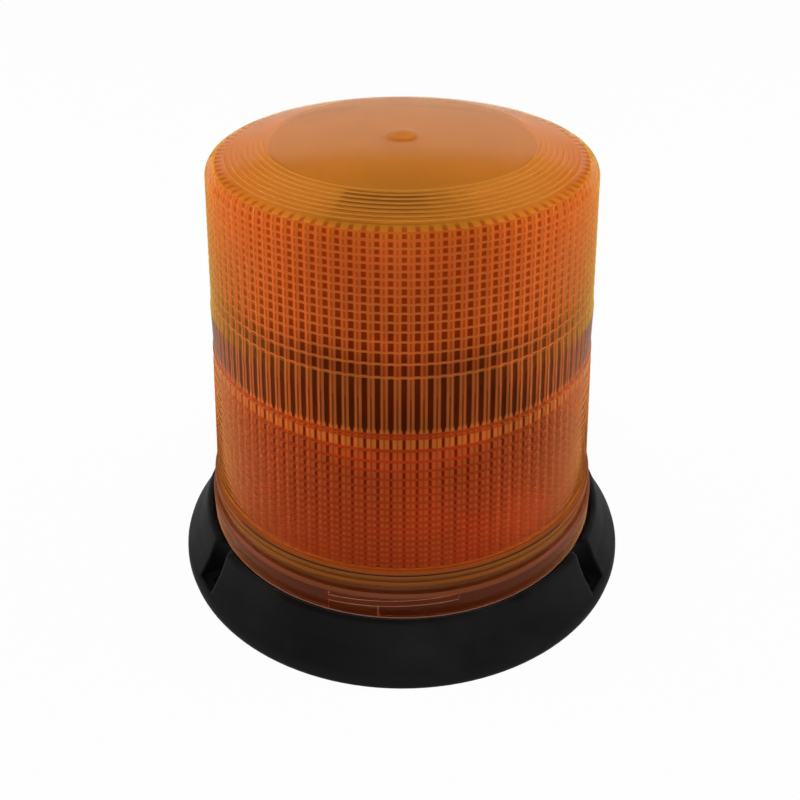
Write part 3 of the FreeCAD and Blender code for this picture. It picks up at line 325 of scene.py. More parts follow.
# how far out and down the lip of a step is, and how far out and up its foot
LIP_OUT, LIP_DOWN = 0.28, 0.10
FOOT_OUT, FOOT_UP = 0.40, 0.04
SHOULDER_CENTRE, SHOULDER_WIDE, SHOULDER_HIGH = (56.6, 146.2), 4.55, 4.5
SHOULDER_ARC = (78, 4, 8)


def roof_points():
    """From the axis over the nub and the crowned disc, down eight shallow steps."""
    points = [(radius, z, NUB) for radius, z in NUB_PROFILE] + [(*NUB_FOOT, CLEAR)]
    for radius in CROWN_RINGS:
        points.append((radius, CROWN_TOP - CROWN_DROP * (radius / DISC_RAD) ** 2, CLEAR))
    wide = (STEPS_RAD - DISC_RAD) / STEPS
    drop = (STEPS_TOP - STEPS_LOW) / STEPS
    for step in range(STEPS):
        radius = DISC_RAD + wide * step
        top = STEPS_TOP - drop * step
        # the riser of each step gets the pale edge tone: a painted highlight
        points += [(radius, top, CLEAR), (radius + LIP_OUT, top - LIP_DOWN, LIT_EDGE),
                   (radius + FOOT_OUT, top - drop + FOOT_UP, CLEAR)]
    points.append((STEPS_RAD, STEPS_LOW, CLEAR))
    return points + arc(SHOULDER_CENTRE, SHOULDER_WIDE, SHOULDER_HIGH, *SHOULDER_ARC, PRISM)


print("roof points", len(roof_points()))

# %% Prisms
# start of the rows from the optic plane, first pitch, and growth of the pitch
UPPER_ZONE = (0.0, 6.9, 0.70)
LOWER_ZONE = (12.5, 5.4, 0.765)
UPPER_ROWS = range(1, 16)
LOWER_ROWS = range(19)
PRISM_DEPTH = 0.34
PRISM_EDGE = 0.22
EDGE_IN = 0.6
PRISM_UNDERCUT = 0.02


def prism_points(sign, zone, rows):
    """One side's prisms, listed downwards. Each has its thick edge towards the optic plane."""
    start, pitch, growth = zone
    edges = [OPTIC + sign * (start + pitch * row ** growth) for row in rows]
    points = []
    for z in sorted(edges, reverse=True):
        rad = wall_rad(z)
        # the thick edge of a prism gets the pale edge tone, a painted highlight; below the belt
        # it stays clear
        thick = [(rad, z + sign * PRISM_EDGE, LIT_EDGE), (rad - PRISM_EDGE * EDGE_IN, z, PRISM),
                 (rad - PRISM_DEPTH, z - sign * PRISM_UNDERCUT, PRISM)]
        if sign < 0:
            thick = [(r, h, LOW_PRISM) for r, h, _ in reversed(thick)]
        points += thick
    return points


print("prisms above and below", len(UPPER_ROWS), len(LOWER_ROWS))

# %% Outside of the dome
BELT_POINTS = ((0.05, 3.0), (0.1, 0.0), (0.15, -3.0))
FOOT_OF_WALL = [(67.45, 38.2, BEAD), (67.45, 37.0, BEAD)]
BEAD_RAD, BEAD_PROUD, BEAD_ARC = 67.95, 0.95, (75, -75, 10)
BEADS = ((35.6, 1.15), (33.0, 1.3))
SLOPE = [(67.7, 31.1, SKIRT), (68.4, 30.4, CLEAR), (68.94, 29.77, CLEAR),
         (68.96, 29.75, CLEAR, "slit"), (69.22, 29.44, CLEAR, "slit"),
         (69.24, 29.42, RIM), (69.6, 29.0, RIM), (70.0, 28.7, RIM)]
# the skirt's foot gets the pale ledge tone: a painted highlight
HOOP_PROFILE = [(70.17, 28.1, HOOP), (70.17, 20.1, LIT_LEDGE), (70.0, 19.42, LIT_LEDGE),
                (69.67, 19.3, SKIRT)]


def bead(z, half_high):
    """A round bead, listed downwards: a crest in a lighter tone as painted light, between flanks
    in the skirt's darker tone as painted shade.
    """
    rounded = arc((BEAD_RAD, z), BEAD_PROUD, half_high, *BEAD_ARC, PRISM)
    # The crest is painted light and the flanks painted shade; the faces between keep the wall's
    # clear amber.
    crest, flanks = range(2, 6), (0, 9, 10)
    return [(r, h, BEAD if number in crest else SKIRT if number in flanks else PRISM)
            for number, (r, h, _) in enumerate(rounded)]


def outer_points():
    """The whole outside, listed downwards from the axis to the skirt's foot."""
    points = roof_points() + prism_points(1, UPPER_ZONE, UPPER_ROWS)
    points += [(WALL_BELT + out, OPTIC + up, CLEAR) for out, up in BELT_POINTS]
    points += prism_points(-1, LOWER_ZONE, LOWER_ROWS) + FOOT_OF_WALL
    for z, half_high in BEADS:
        points += bead(z, half_high)
    return points + SLOPE + HOOP_PROFILE


print("outer points", len(outer_points()))

# %% [markdown]
# ## Dome: the bayonet and the ribs
#
# Inside its skirt the real dome has three sloping channels, which take the lugs of the
# foot: the dome is dropped on and twisted. The wall above has 100 upright ribs, and a core
# of the mould leaves a shallow slit outside, over each channel. The channels could be cut
# out with a boolean, but that leaves untidy faces in clear plastic. So each ring of the
# profile names its form, and the channels, ribs and slits come from moving its points.

# %% Inside of the dome
DOME_WALL = 3.0
SKIRT_RAD = 67.2
CHANNEL_HIGH = 2.55
CHANNEL_EDGE = 0.05
OUTLINE = 0.25
SEAT_PROFILE = [(67.2, 33.5, SEAT), (65.0, 33.5, SEAT), (65.0, 36.6, SEAT)]
RIB_RINGS = np.linspace(37.2, 149.2, 13)
RIBS_TOP = 149
UNDER_ROOF = [(56.6, 149.5, BAND), (53.2, 149.9, BAND), (41.25, 152.8, ROOF),
              (20.0, 153.4, ROOF), (0.0, 153.7, ROOF)]


def inner_points():
    """Skirt, seat, ribbed wall and underside of the roof, listed upwards."""
    # the channel's outlines get the pale ledge tone: a painted highlight
    points = [(67.4, 19.3, SKIRT, "entry"), (SKIRT_RAD, 19.5, SKIRT, "entry"),
              (SKIRT_RAD, -CHANNEL_EDGE, SKIRT, "low"), (SKIRT_RAD, 0.0, LIT_LEDGE, "inside"),
              (SKIRT_RAD, OUTLINE, SKIRT, "inside"),
              (SKIRT_RAD, CHANNEL_HIGH - OUTLINE, LIT_LEDGE, "inside"),
              (SKIRT_RAD, CHANNEL_HIGH, SKIRT, "inside"),
              (SKIRT_RAD, CHANNEL_HIGH + CHANNEL_EDGE, SKIRT, "high")]
    points += SEAT_PROFILE
    for z in RIB_RINGS:
        finish = RIBBED if z < RIBS_TOP else BAND
        points.append((wall_rad(z) - DOME_WALL, z, finish, "rib"))
    return points + UNDER_ROOF


print("inner points", len(inner_points()))

# %% Rings that are not round
RIBS = 100
RIB_STEPS = 8
RIB_DEPTH = 0.35
RIB_TURN = -89.4
AROUND = RIBS * RIB_STEPS
LUG_TURNS = 3
# first and last angle of each form, from the front
ENTRY = (-20.3, -6.2)
CHANNEL = (-20.3, 15.8)
SLIT = (-19.0, 15.0)
CHANNEL_LOW = 24.2
CHANNEL_CLIMB = 0.055
CHANNEL_RAD = 69.0
SLIT_DEPTH = 0.35
SLIT_IN, SLIT_DOWN = 0.76, 0.65


def between(turn, span):
    """Marks the points of a ring whose angle is inside a span."""
    return (turn > span[0]) & (turn < span[1])


def shaped_ring(form, radius, z, turn, rib):
    """Radius and height round one ring: ribs, the bayonet's channels or the core slit."""
    radius = np.full(AROUND, radius)
    height = np.full(AROUND, z)
    entry, channel = between(turn, ENTRY), between(turn, CHANNEL)
    climb = CHANNEL_LOW + CHANNEL_CLIMB * np.interp(
        turn, (CHANNEL[0], CHANNEL[1], 360 / LUG_TURNS + CHANNEL[0]),
        (CHANNEL[0], CHANNEL[1], CHANNEL[0]))
    if form == "rib":
        radius = radius - RIB_DEPTH * rib
    if form in ("low", "inside", "high"):
        height = height + climb
    if form in ("entry", "low"):
        radius[entry] = CHANNEL_RAD
    if form == "inside":
        radius[channel] = CHANNEL_RAD
    if form == "slit":
        sunk = between(turn, SLIT)
        radius[sunk] -= SLIT_DEPTH * SLIT_IN
        height[sunk] -= SLIT_DEPTH * SLIT_DOWN
    return radius, height


print("points round a ring", AROUND)

# %% Turn the profile
SHARP_ANGLE = 28
CHANNEL_STEP = 0.5
BEFORE_ENTRY = 4


def turned_rings(points):
    """The corners of the whole turned form, and which of them make each ring."""
    angle = np.radians(RIB_TURN) + np.arange(AROUND) * 2 * math.pi / AROUND
    rib = np.abs(np.cos(math.pi * np.arange(AROUND) / RIB_STEPS))
    pitch = 360 / LUG_TURNS
    turn = (np.degrees(angle) + 90 - ENTRY[0] + BEFORE_ENTRY) % pitch + ENTRY[0] - BEFORE_ENTRY
    verts, rings = [], []
    for radius, z, _, *form in points:
        if radius == 0.0:
            rings.append(np.array([len(verts)] * AROUND))
            verts.append((0.0, 0.0, z * MM))
            continue
        around, height = shaped_ring(form[0] if form else "", radius, z, turn, rib)
        rings.append(np.arange(len(verts), len(verts) + AROUND))
        verts += list(zip(around * MM * np.cos(angle), around * MM * np.sin(angle),
                          height * MM))
    return verts, rings


def face_finish(point, reach):
    """The point's finish, but the ledge's on a channel's ends and the skirt's beside it."""
    finish, form = point[2], point[3:]
    if finish == LIT_LEDGE and form and max(reach) < CHANNEL_RAD - CHANNEL_STEP:
        finish = SKIRT
    if form in (("entry",), ("inside",)) and abs(reach[0] - reach[1]) > CHANNEL_STEP:
        finish = LIT_LEDGE
    return finish


def turned_mesh(name, points):
    """Turns a profile round the axis. A point's fourth value says how its ring is shaped."""
    verts, rings = turned_rings(points)
    faces, finishes = [], []
    following = (np.arange(AROUND) + 1) % AROUND
    for point, upper, lower in zip(points, rings, rings[1:]):
        for a, b, c, d in zip(upper, lower, lower[following], upper[following]):
            if a == d:
                faces.append((a, b, c))
            elif b == c:
                faces.append((a, b, d))
            else:
                faces.append((a, b, c, d))
            reach = [math.hypot(*verts[corner][:2]) / MM for corner in (a, d)]
            finishes.append(face_finish(point, reach))
    mesh = bpy.data.meshes.new(name)
    mesh.from_pydata(verts, [], faces)
    mesh.shade_smooth()
    mesh.set_sharp_from_angle(angle=math.radians(SHARP_ANGLE))
    piece = bpy.data.objects.new(name, mesh)
    bpy.context.scene.collection.objects.link(piece)
    return piece, finishes


dome, dome_finishes = turned_mesh("dome", outer_points() + inner_points())
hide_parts("lens_dome")
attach(dome, "lens")
print("dome faces", len(dome.data.polygons))

# %% [markdown]
# ## Dome: the plastic
#
# The real plastic is amber all through. Its pattern comes from the light: a rib bends the
# white room out of sight, so a dark bar stands behind each rib, and a prism breaks the bar
# into cells. Light traced through the ribs alone gives this only where the things behind
# the wall are those of the photograph. So masks that follow the real ribs and prisms paint
# that light into the colour: the bars are painted shade, the lit lines and pale gaps painted
# light, over the amber's own tone, and the plastic stays clear enough to see through. The
# ribbed wall and the roof band both use these masks, so they are a node group.

# %% Where the bars and rows are
# counts of rows at which one look changes into the next
BELT_END = (0.92, 0.98)
BARS_END = (0.78, 0.93)
BELOW_BELT = (0.8, 1.0)
FLARE_END = (1.7, 2.0)
CLOSE_END = (1.4, 4.0)
FAR_ROW = 15.0
# widths as shares of a rib's pitch, and openings as shares of a row
BAR_SOFT = 0.05
LESS_BAR_BELOW, LESS_BAR_FAR = 0.095, 0.035
FINE_LINE = (0.39, 0.45)
FINE_FULL, FINE_LOSS, FINE_LOSS_ABOVE = 0.8, -0.3, 0.7
ROW_SOFT = 0.06
LESS_OPEN_LOWER, LESS_OPEN_UPPER = 0.2, 0.24
MASKS = ("Bar", "Fine", "Belt", "Row", "Upper", "Away", "Flare", "Close")


def row_count(tree, z, sign, zone):
    """Counts the prism rows from the optic plane, upwards or downwards."""
    start, pitch, growth = zone
    reach = maths(tree, "MULTIPLY", maths(tree, "SUBTRACT", z, OPTIC), sign)
    past = maths(tree, "DIVIDE", maths(tree, "SUBTRACT", reach, start), pitch)
    rows = maths(tree, "POWER", maths(tree, "MAXIMUM", past, 0.0), 1 / growth)
    if start:
        share = maths(tree, "MINIMUM", maths(tree, "DIVIDE", reach, start), 1.0)
        rows = maths(tree, "ADD", rows, maths(tree, "MAXIMUM", share, 0.0))
    return rows


def from_rib(tree, axes):
    """Nought on the crest of a rib, and half midway between two ribs."""
    angle = maths(tree, "ARCTAN2", axes["Y"], axes["X"])
    ribs = maths(tree, "MULTIPLY", maths(tree, "SUBTRACT", angle, math.radians(RIB_TURN)),
                 RIBS / (2 * math.pi))
    part = maths(tree, "FRACT", maths(tree, "ADD", ribs, 0.5))
    return maths(tree, "ABSOLUTE", maths(tree, "SUBTRACT", part, 0.5))


print("masks", MASKS)

# %% Masks of the dark bars, the belt and the rows
def bar_masks(tree, width, wave, narrow, shrink, faint):
    """Masks of painted shade: the bars behind the ribs, and fine lines midway between them."""
    width = maths(tree, "SUBTRACT", width, maths(tree, "MULTIPLY", narrow, LESS_BAR_BELOW))
    width = maths(tree, "SUBTRACT", width, shrink)
    bar = one_minus(tree, soft_step(tree, wave, maths(tree, "SUBTRACT", width, BAR_SOFT),
                                    maths(tree, "ADD", width, BAR_SOFT)))
    strength = maths(tree, "MULTIPLY_ADD", faint, FINE_LOSS, FINE_FULL)
    return bar, maths(tree, "MULTIPLY", soft_step(tree, wave, *FINE_LINE), strength)


def row_mask(tree, given, count, upper, away):
    """One inside a row, and nought in the lit gap between two rows."""
    edge = maths(tree, "ABSOLUTE", maths(tree, "SUBTRACT", maths(tree, "FRACT", count), 0.5))
    lower_open = maths(tree, "MULTIPLY", one_minus(tree, upper), maths(
        tree, "SUBTRACT", given["Lower Open"], maths(tree, "MULTIPLY", away, LESS_OPEN_LOWER)))
    upper_open = maths(tree, "MULTIPLY", upper, maths(
        tree, "SUBTRACT", given["Upper Open"], maths(tree, "MULTIPLY", away, LESS_OPEN_UPPER)))
    half = maths(tree, "MULTIPLY", maths(tree, "ADD", lower_open, upper_open), 0.5)
    return one_minus(tree, soft_step(tree, edge, maths(tree, "SUBTRACT", half, ROW_SOFT),
                                     maths(tree, "ADD", half, ROW_SOFT)))


def make_cells():
    """The group that puts out all the masks of the ribbed wall."""
    tree, group_in, result = group_tree(
        "rib_cells", {"Lift": 0.0, "Bar Width": 0.2, "Upper Open": 0.8, "Lower Open": 0.6},
        {name: "NodeSocketFloat" for name in MASKS})
    given = group_in.outputs
    axes = add(tree, "ShaderNodeSeparateXYZ", {0: object_place(tree)}).outputs
    z = maths(tree, "ADD", maths(tree, "MULTIPLY", axes["Z"], MM_PER_METRE), given["Lift"])
    rows_up = row_count(tree, z, 1, UPPER_ZONE)
    rows_down = row_count(tree, z, -1, LOWER_ZONE)
    count = maths(tree, "ADD", rows_up, rows_down)
    upper = maths(tree, "GREATER_THAN", z, OPTIC)
    belt = one_minus(tree, soft_step(tree, count, *BELT_END))
    away = soft_step(tree, count, 0.0, FAR_ROW)
    # The bars narrow just above the first lower prism, and the row below it is painted brighter:
    # painted light.
    end = soft_step(tree, rows_down, *BARS_END)
    below = soft_step(tree, rows_down, *BELOW_BELT)
    flare = maths(tree, "MULTIPLY", end, one_minus(tree, soft_step(tree, rows_down, *FLARE_END)))
    # The rows close above the belt are painted darker: painted shade.
    close = maths(tree, "MULTIPLY", upper, one_minus(tree, soft_step(tree, rows_up, *CLOSE_END)))
    narrow = maths(tree, "MAXIMUM", maths(tree, "MULTIPLY", belt, end), below)
    shrink = maths(tree, "MULTIPLY", maths(tree, "MULTIPLY", away, upper), LESS_BAR_FAR)
    faint = maths(tree, "MAXIMUM", below, maths(tree, "MULTIPLY", upper, FINE_LOSS_ABOVE))
    bar, fine = bar_masks(tree, given["Bar Width"], from_rib(tree, axes), narrow, shrink, faint)
    row = maths(tree, "MAXIMUM", row_mask(tree, given, count, upper, away), belt)
    for name, mask in zip(MASKS, (bar, fine, belt, row, upper, away, flare, close)):
        tree.links.new(mask, result.inputs[name])
    return tree


CELLS = make_cells()
print("nodes in", CELLS.name, len(CELLS.nodes))

# %% [markdown]
# ### Clear amber
#
# The outer faces of the dome carry no colour pattern of their own: they bend the light and
# shine. A full refraction index would bend it more than the thin wall of the photograph
# does, so it is low, and light from the lamps passes through tinted instead of leaving a
# black shadow. Where the real wall turns away, its prisms show the white room as gold. A
# sheen comes near that look and, unlike a colour painted by view, it is the shader's own.

# %% Clear amber
AMBER = (0.97, 0.60, 0.20)
AMBER_ROUGH = 0.06
AMBER_IOR = 1.18
AMBER_GLINT = (1.0, 0.55, 0.25)
AMBER_SHADE = (0.95, 0.45, 0.25)
DEEP_SHADE = (0.5, 0.2, 0.05)


def glassy(tree, shader, tint):
    """Lets the lamps' light through the plastic, tinted, instead of shading it black."""
    clear = add(tree, "ShaderNodeBsdfTransparent", {"Color": (*tint, 1)})
    shadow_ray = add(tree, "ShaderNodeLightPath").outputs["Is Shadow Ray"]
    mixed = add(tree, "ShaderNodeMixShader", {
        0: shadow_ray, 1: shader.outputs[0], 2: clear.outputs[0]})
    add(tree, "ShaderNodeOutputMaterial", {"Surface": mixed.outputs[0]})


def clear_finish(name, sheen=None, base=AMBER, rough=AMBER_ROUGH, ior=AMBER_IOR,
                 glint=AMBER_GLINT):
    """Clear amber. A sheen has a weight, a roughness and a tint."""
    material, tree = new_material(name)
    inputs = {"Base Color": (*base, 1), "Roughness": rough, "IOR": ior,
              "Transmission Weight": 1.0, "Specular Tint": (*glint, 1)}
    if sheen:
        weight, sheen_rough, tint = sheen
        inputs.update({"Sheen Weight": weight, "Sheen Roughness": sheen_rough,
                       "Sheen Tint": (*tint, 1)})
    glassy(tree, add(tree, "ShaderNodeBsdfPrincipled", inputs), AMBER_SHADE)
    return material


clear_amber = clear_finish("amber_clear")
wall_amber = clear_finish("amber_wall", sheen=(1.0, 0.36, (1.0, 0.58, 0.0)))
low_wall_amber = clear_finish("amber_low_wall", sheen=(0.6, 0.27, (1.0, 0.50, 0.01)),
                              glint=(1.0, 0.42, 0.12))
# The hoop round the skirt is polished by its mould, so it has more gloss.
hoop_amber = clear_finish("amber_hoop", sheen=(1.0, 0.3, (1.0, 0.44, 0.17)),
                          base=(0.95, 0.55, 0.30), rough=0.12, ior=1.4, glint=(1.0, 0.8, 0.65))
print("clear ambers", [m.name for m in (clear_amber, wall_amber, low_wall_amber, hoop_amber)])

# %% [markdown]
# ### Ribbed amber
#
# The inside of the wall carries the grid that is seen through the smooth outside, painted
# in as light and shade. Above the belt it is a net of pale lines round dark squares, in the
# belt upright bars, and below it rows of rounded cells. Each mask of the group chooses
# between two tones, in the order in which they would be painted: the lit grid first as
# painted light, then the gaps, then the bars as painted shade.

# %% Ribbed amber
RIB_CLEAR = 0.55
RIB_IOR = 1.15
RIM_OF_WALL = (144.5, 149.0)
# tones of the lit lines: painted light over the amber's own tone
LIT_ABOVE, LIT_FAR_ABOVE = (0.73, 0.25, 0.13), (0.90, 0.30, 0.15)
LIT_BELOW, LIT_BELT = (0.62, 0.19, 0.12), (0.52, 0.23, 0.15)
LIT_CLOSE, LIT_FLARE, LIT_RIM = (0.46, 0.15, 0.10), (0.82, 0.37, 0.18), (0.90, 0.42, 0.12)
# tones of the gaps between rows: pale painted light above the belt, darker red painted shade
# below it
GAP_ABOVE, GAP_FAR_ABOVE = (0.70, 0.31, 0.19), (0.90, 0.30, 0.15)
GAP_BELOW = (0.50, 0.08, 0.045)
# tones of the dark bars and fine lines: painted shade
SHADE_BAR_NEAR, SHADE_BAR_BELT, SHADE_BAR_CLOSE = (0.15, 0.012, 0.002), (0.05, 0.006, 0.001), (0.05, 0.006, 0.003)
SHADE_BAR_FAR_BELOW, SHADE_BAR_FAR_ABOVE = (0.30, 0.030, 0.012), (0.44, 0.07, 0.02)

ribbed_amber, tree = new_material("amber_ribs")
mask = add(tree, "ShaderNodeGroup", {"Lift": 1.2, "Bar Width": 0.225, "Upper Open": 0.86,
                                     "Lower Open": 0.68}, node_tree=CELLS).outputs
height = maths(tree, "MULTIPLY", add(tree, "ShaderNodeSeparateXYZ", {
    0: object_place(tree)}).outputs["Z"], MM_PER_METRE)

above = blend(tree, mask["Away"], LIT_ABOVE, LIT_FAR_ABOVE)
above = blend(tree, mask["Close"], above, LIT_CLOSE)
lit = blend(tree, mask["Upper"], LIT_BELOW, above)
lit = blend(tree, mask["Belt"], lit, LIT_BELT)
lit = blend(tree, soft_step(tree, height, *RIM_OF_WALL), lit, LIT_RIM)
lit = blend(tree, mask["Flare"], lit, LIT_FLARE)
gap = blend(tree, mask["Away"], GAP_ABOVE, GAP_FAR_ABOVE)
gap = blend(tree, mask["Upper"], GAP_BELOW, gap)
# The painted shade of the bars is nearly black at the belt and a deep orange far from it.
near = blend(tree, mask["Belt"], SHADE_BAR_NEAR, SHADE_BAR_BELT)
far = blend(tree, mask["Upper"], SHADE_BAR_FAR_BELOW, SHADE_BAR_FAR_ABOVE)
bar_shade = blend(tree, mask["Away"], near, far)
bar_shade = blend(tree, mask["Close"], bar_shade, SHADE_BAR_CLOSE)
bar_shade_mask = maths(tree, "MAXIMUM", mask["Bar"], mask["Fine"])
colour = blend(tree, mask["Row"], gap, blend(tree, bar_shade_mask, lit, bar_shade))
shader = add(tree, "ShaderNodeBsdfPrincipled", {
    "Base Color": colour, "Roughness": 0.4, "IOR": RIB_IOR,
    "Transmission Weight": RIB_CLEAR, "Specular IOR Level": 0.1,
    "Sheen Weight": 0.25, "Sheen Roughness": 0.5, "Sheen Tint": (0.9, 0.45, 0.04, 1),
})
glassy(tree, shader, DEEP_SHADE)
print("nodes in", ribbed_amber.name, len(tree.nodes))

# %% Other faces of the dome
CLOUD_SCALE = 60.0
CLOUD_TONE = 0.08
# name, colour, roughness, clearness, and the tint of the light that passes
AMBER_FACES = {
    # pale tone painted on the prisms' edges and the steps' risers: a painted highlight
    LIT_EDGE: ("amber_lit_edge", (0.64, 0.34, 0.06), 0.3, 0.5, AMBER_SHADE),
    ROOF: ("amber_roof", (0.62, 0.42, 0.115), 0.35, 0.4, DEEP_SHADE),
    SKIRT: ("amber_skirt", (0.27, 0.095, 0.04), 0.3, 0.65, DEEP_SHADE),
    SEAT: ("amber_seat", (0.45, 0.19, 0.06), 0.3, 0.25, DEEP_SHADE),
    # pale tone painted on the channels' outlines and the skirt's foot: a painted highlight
    LIT_LEDGE: ("amber_lit_ledge", (0.85, 0.48, 0.36), 0.3, 0.2, AMBER_SHADE),
    NUB: ("amber_nub", (0.60, 0.20, 0.03), 0.35, 0.2, AMBER_SHADE),
    RIM: ("amber_rim", (0.36, 0.105, 0.045), 0.3, 0.6, DEEP_SHADE),
    # lighter tone painted on the beads' crests: painted light
    BEAD: ("amber_bead", (0.42, 0.125, 0.026), 0.3, 0.5, AMBER_SHADE),
}


def amber_face(name, colour, rough, clear, shade):
    """A face of the dome that is one tone of amber with a little cloudiness."""
    material, tree = new_material(name)
    cloud = add(tree, "ShaderNodeTexNoise", {
        "Vector": object_place(tree), "Scale": CLOUD_SCALE, "Detail": 3.0})
    tone = blend(tree, cloud.outputs[0], [c * (1 - CLOUD_TONE) for c in colour],
                 [min(1.0, c * (1 + CLOUD_TONE)) for c in colour])
    shader = add(tree, "ShaderNodeBsdfPrincipled", {
        "Base Color": tone, "Roughness": rough, "IOR": AMBER_IOR,
        "Transmission Weight": clear, "Specular IOR Level": 0.1})
    glassy(tree, shader, shade)
    return material


dome_materials = {number: amber_face(*values) for number, values in AMBER_FACES.items()}
print("amber faces", len(dome_materials))

# %% [markdown]
# ### Roof band
#
# In the photograph the stepped band of the roof is darker towards the front, in fine
# rings, and the ends of the wall's ribs darken its rim. The steps themselves are geometry,
# but this darkening is painted shade on the inner face behind them, which is smooth: the
# fine rings are a mask of the distance from the axis, kept to a sector at the front, and
# the dark rib ends come from the same group as the bars of the wall.

# %% Roof band
RIB_ENDS = (54.6, 57.0)
SHADE_RING_START, SHADE_RING_PITCH = 42.0, 1.744
SHADE_RING_EDGE = (0.12, 0.34)
SHADE_RING_DARK, BETWEEN_SHADE_RINGS = 0.7, 0.1
SHADE_RINGS_END = (54.4, 55.6)
# angles of the painted shade from the front, in radians: where it starts and where it fades
DARK_FROM, DARK_TO = (-0.41, -0.36), (0.0, 0.45)
BAND_COLOUR = (0.82, 0.56, 0.14)
# tones of the painted shade: the rib ends and the fine rings
RIB_END_SHADE, SHADE_RING_COLOUR = (0.50, 0.20, 0.05), (0.20, 0.075, 0.01)

band_amber, tree = new_material("amber_band")
ends = add(tree, "ShaderNodeGroup", {"Bar Width": 0.22}, node_tree=CELLS)
place = object_place(tree)
flat = add(tree, "ShaderNodeVectorMath", {0: place, 1: (MM_PER_METRE, MM_PER_METRE, 0.0)},
           operation="MULTIPLY").outputs[0]
from_axis = add(tree, "ShaderNodeVectorMath", {0: flat}, operation="LENGTH").outputs["Value"]
# the rib ends darken the band's rim: painted shade
rim = maths(tree, "MULTIPLY", soft_step(tree, from_axis, *RIB_ENDS), ends.outputs["Bar"])
# fine dark rings, kept below to a sector at the front: painted shade
shade_ring = maths(tree, "FRACT", maths(tree, "DIVIDE", maths(
    tree, "SUBTRACT", from_axis, SHADE_RING_START), SHADE_RING_PITCH))
shade_ring = one_minus(tree, soft_step(tree, maths(
    tree, "ABSOLUTE", maths(tree, "SUBTRACT", shade_ring, 0.5)), *SHADE_RING_EDGE))
axes = add(tree, "ShaderNodeSeparateXYZ", {0: place}).outputs
turn = maths(tree, "ARCTAN2", axes["X"], maths(tree, "MULTIPLY", axes["Y"], -1.0))
shaded = maths(tree, "MULTIPLY", soft_step(tree, turn, *DARK_FROM),
               one_minus(tree, soft_step(tree, turn, *DARK_TO)))
shaded = maths(tree, "MULTIPLY", shaded, maths(
    tree, "MULTIPLY_ADD", shade_ring, SHADE_RING_DARK, BETWEEN_SHADE_RINGS))
shaded = maths(tree, "MULTIPLY", shaded, one_minus(
    tree, soft_step(tree, from_axis, *SHADE_RINGS_END)))
colour = blend(tree, rim, BAND_COLOUR, RIB_END_SHADE)
colour = blend(tree, shaded, colour, SHADE_RING_COLOUR)
shader = add(tree, "ShaderNodeBsdfPrincipled", {
    "Base Color": colour, "Roughness": 0.3, "IOR": AMBER_IOR, "Transmission Weight": 0.6,
    "Specular IOR Level": 0.1})
glassy(tree, shader, DEEP_SHADE)
print("nodes in", band_amber.name, len(tree.nodes))

# %% Give the dome's faces their finishes
dome_materials.update({CLEAR: clear_amber, RIBBED: ribbed_amber, BAND: band_amber,
                       HOOP: hoop_amber, PRISM: wall_amber, LOW_PRISM: low_wall_amber})
for number in sorted(dome_materials):
    dome.data.materials.append(dome_materials[number])
dome.data.polygons.foreach_set("material_index", dome_finishes)
print("dome materials", [material.name for material in dome.data.materials])

# %% [markdown]
# ## The other finishes
#
# The rest of the beacon is moulded plastic, turned or pressed metal, rubber, glass and
# ceramic. Each could be one flat colour, but real surfaces vary a little: a moulding has a
# fine grain from its mould and cloudy tone, turned metal has rings, and edges and tops
# catch wear and dust. Each of these effects is one node group, and a table gives every
# finish its own values.

# %% Grain and rings
# how much of the tone comes from the marks and from the clouds, and its soft step
GRAIN_FINE, GRAIN_CLOUD, GRAIN_STEP = 0.3, 0.7, (0.35, 0.65)
RINGS_FINE, RINGS_CLOUD, RINGS_STEP = 0.6, 0.4, (0.38, 0.62)
RING_STRETCH = (0.06, 0.06, 1.0)


def start_tones(name):
    """A group that takes two tones and puts out colour, roughness and height."""
    return group_tree(
        name,
        {"First": (0.1, 0.1, 0.1, 1), "Second": (0.2, 0.2, 0.2, 1), "Marks per mm": 2.0,
         "Rough": 0.5, "Spread": 0.1},
        {"Colour": "NodeSocketColor", "Roughness": "NodeSocketFloat",
         "Height": "NodeSocketFloat"})


def end_tones(tree, given, result, tone, height):
    """Makes the colour and roughness from the tone, and links the group's outputs."""
    rough = maths(tree, "ADD", given["Rough"], maths(
        tree, "MULTIPLY", maths(tree, "SUBTRACT", tone, 0.5), given["Spread"]))
    tree.links.new(blend(tree, tone, given["First"], given["Second"]), result.inputs["Colour"])
    tree.links.new(rough, result.inputs["Roughness"])
    tree.links.new(height, result.inputs["Height"])
    return tree


def noise(tree, place, scale, detail):
    """Cloudy noise. Its scale is in marks per metre."""
    return add(tree, "ShaderNodeTexNoise", {
        "Vector": place, "Scale": scale, "Detail": detail}).outputs[0]


def make_grain():
    """Fine mould grain and cloudy tone."""
    tree, group_in, result = start_tones("moulded_grain")
    given, place = group_in.outputs, object_place(tree)
    scale = maths(tree, "MULTIPLY", given["Marks per mm"], MM_PER_METRE)
    fine, cloud = noise(tree, place, scale, 2.0), noise(tree, place, 45.0, 4.0)
    both = maths(tree, "ADD", maths(tree, "MULTIPLY", cloud, GRAIN_CLOUD),
                 maths(tree, "MULTIPLY", fine, GRAIN_FINE))
    return end_tones(tree, given, result, soft_step(tree, both, *GRAIN_STEP), fine)


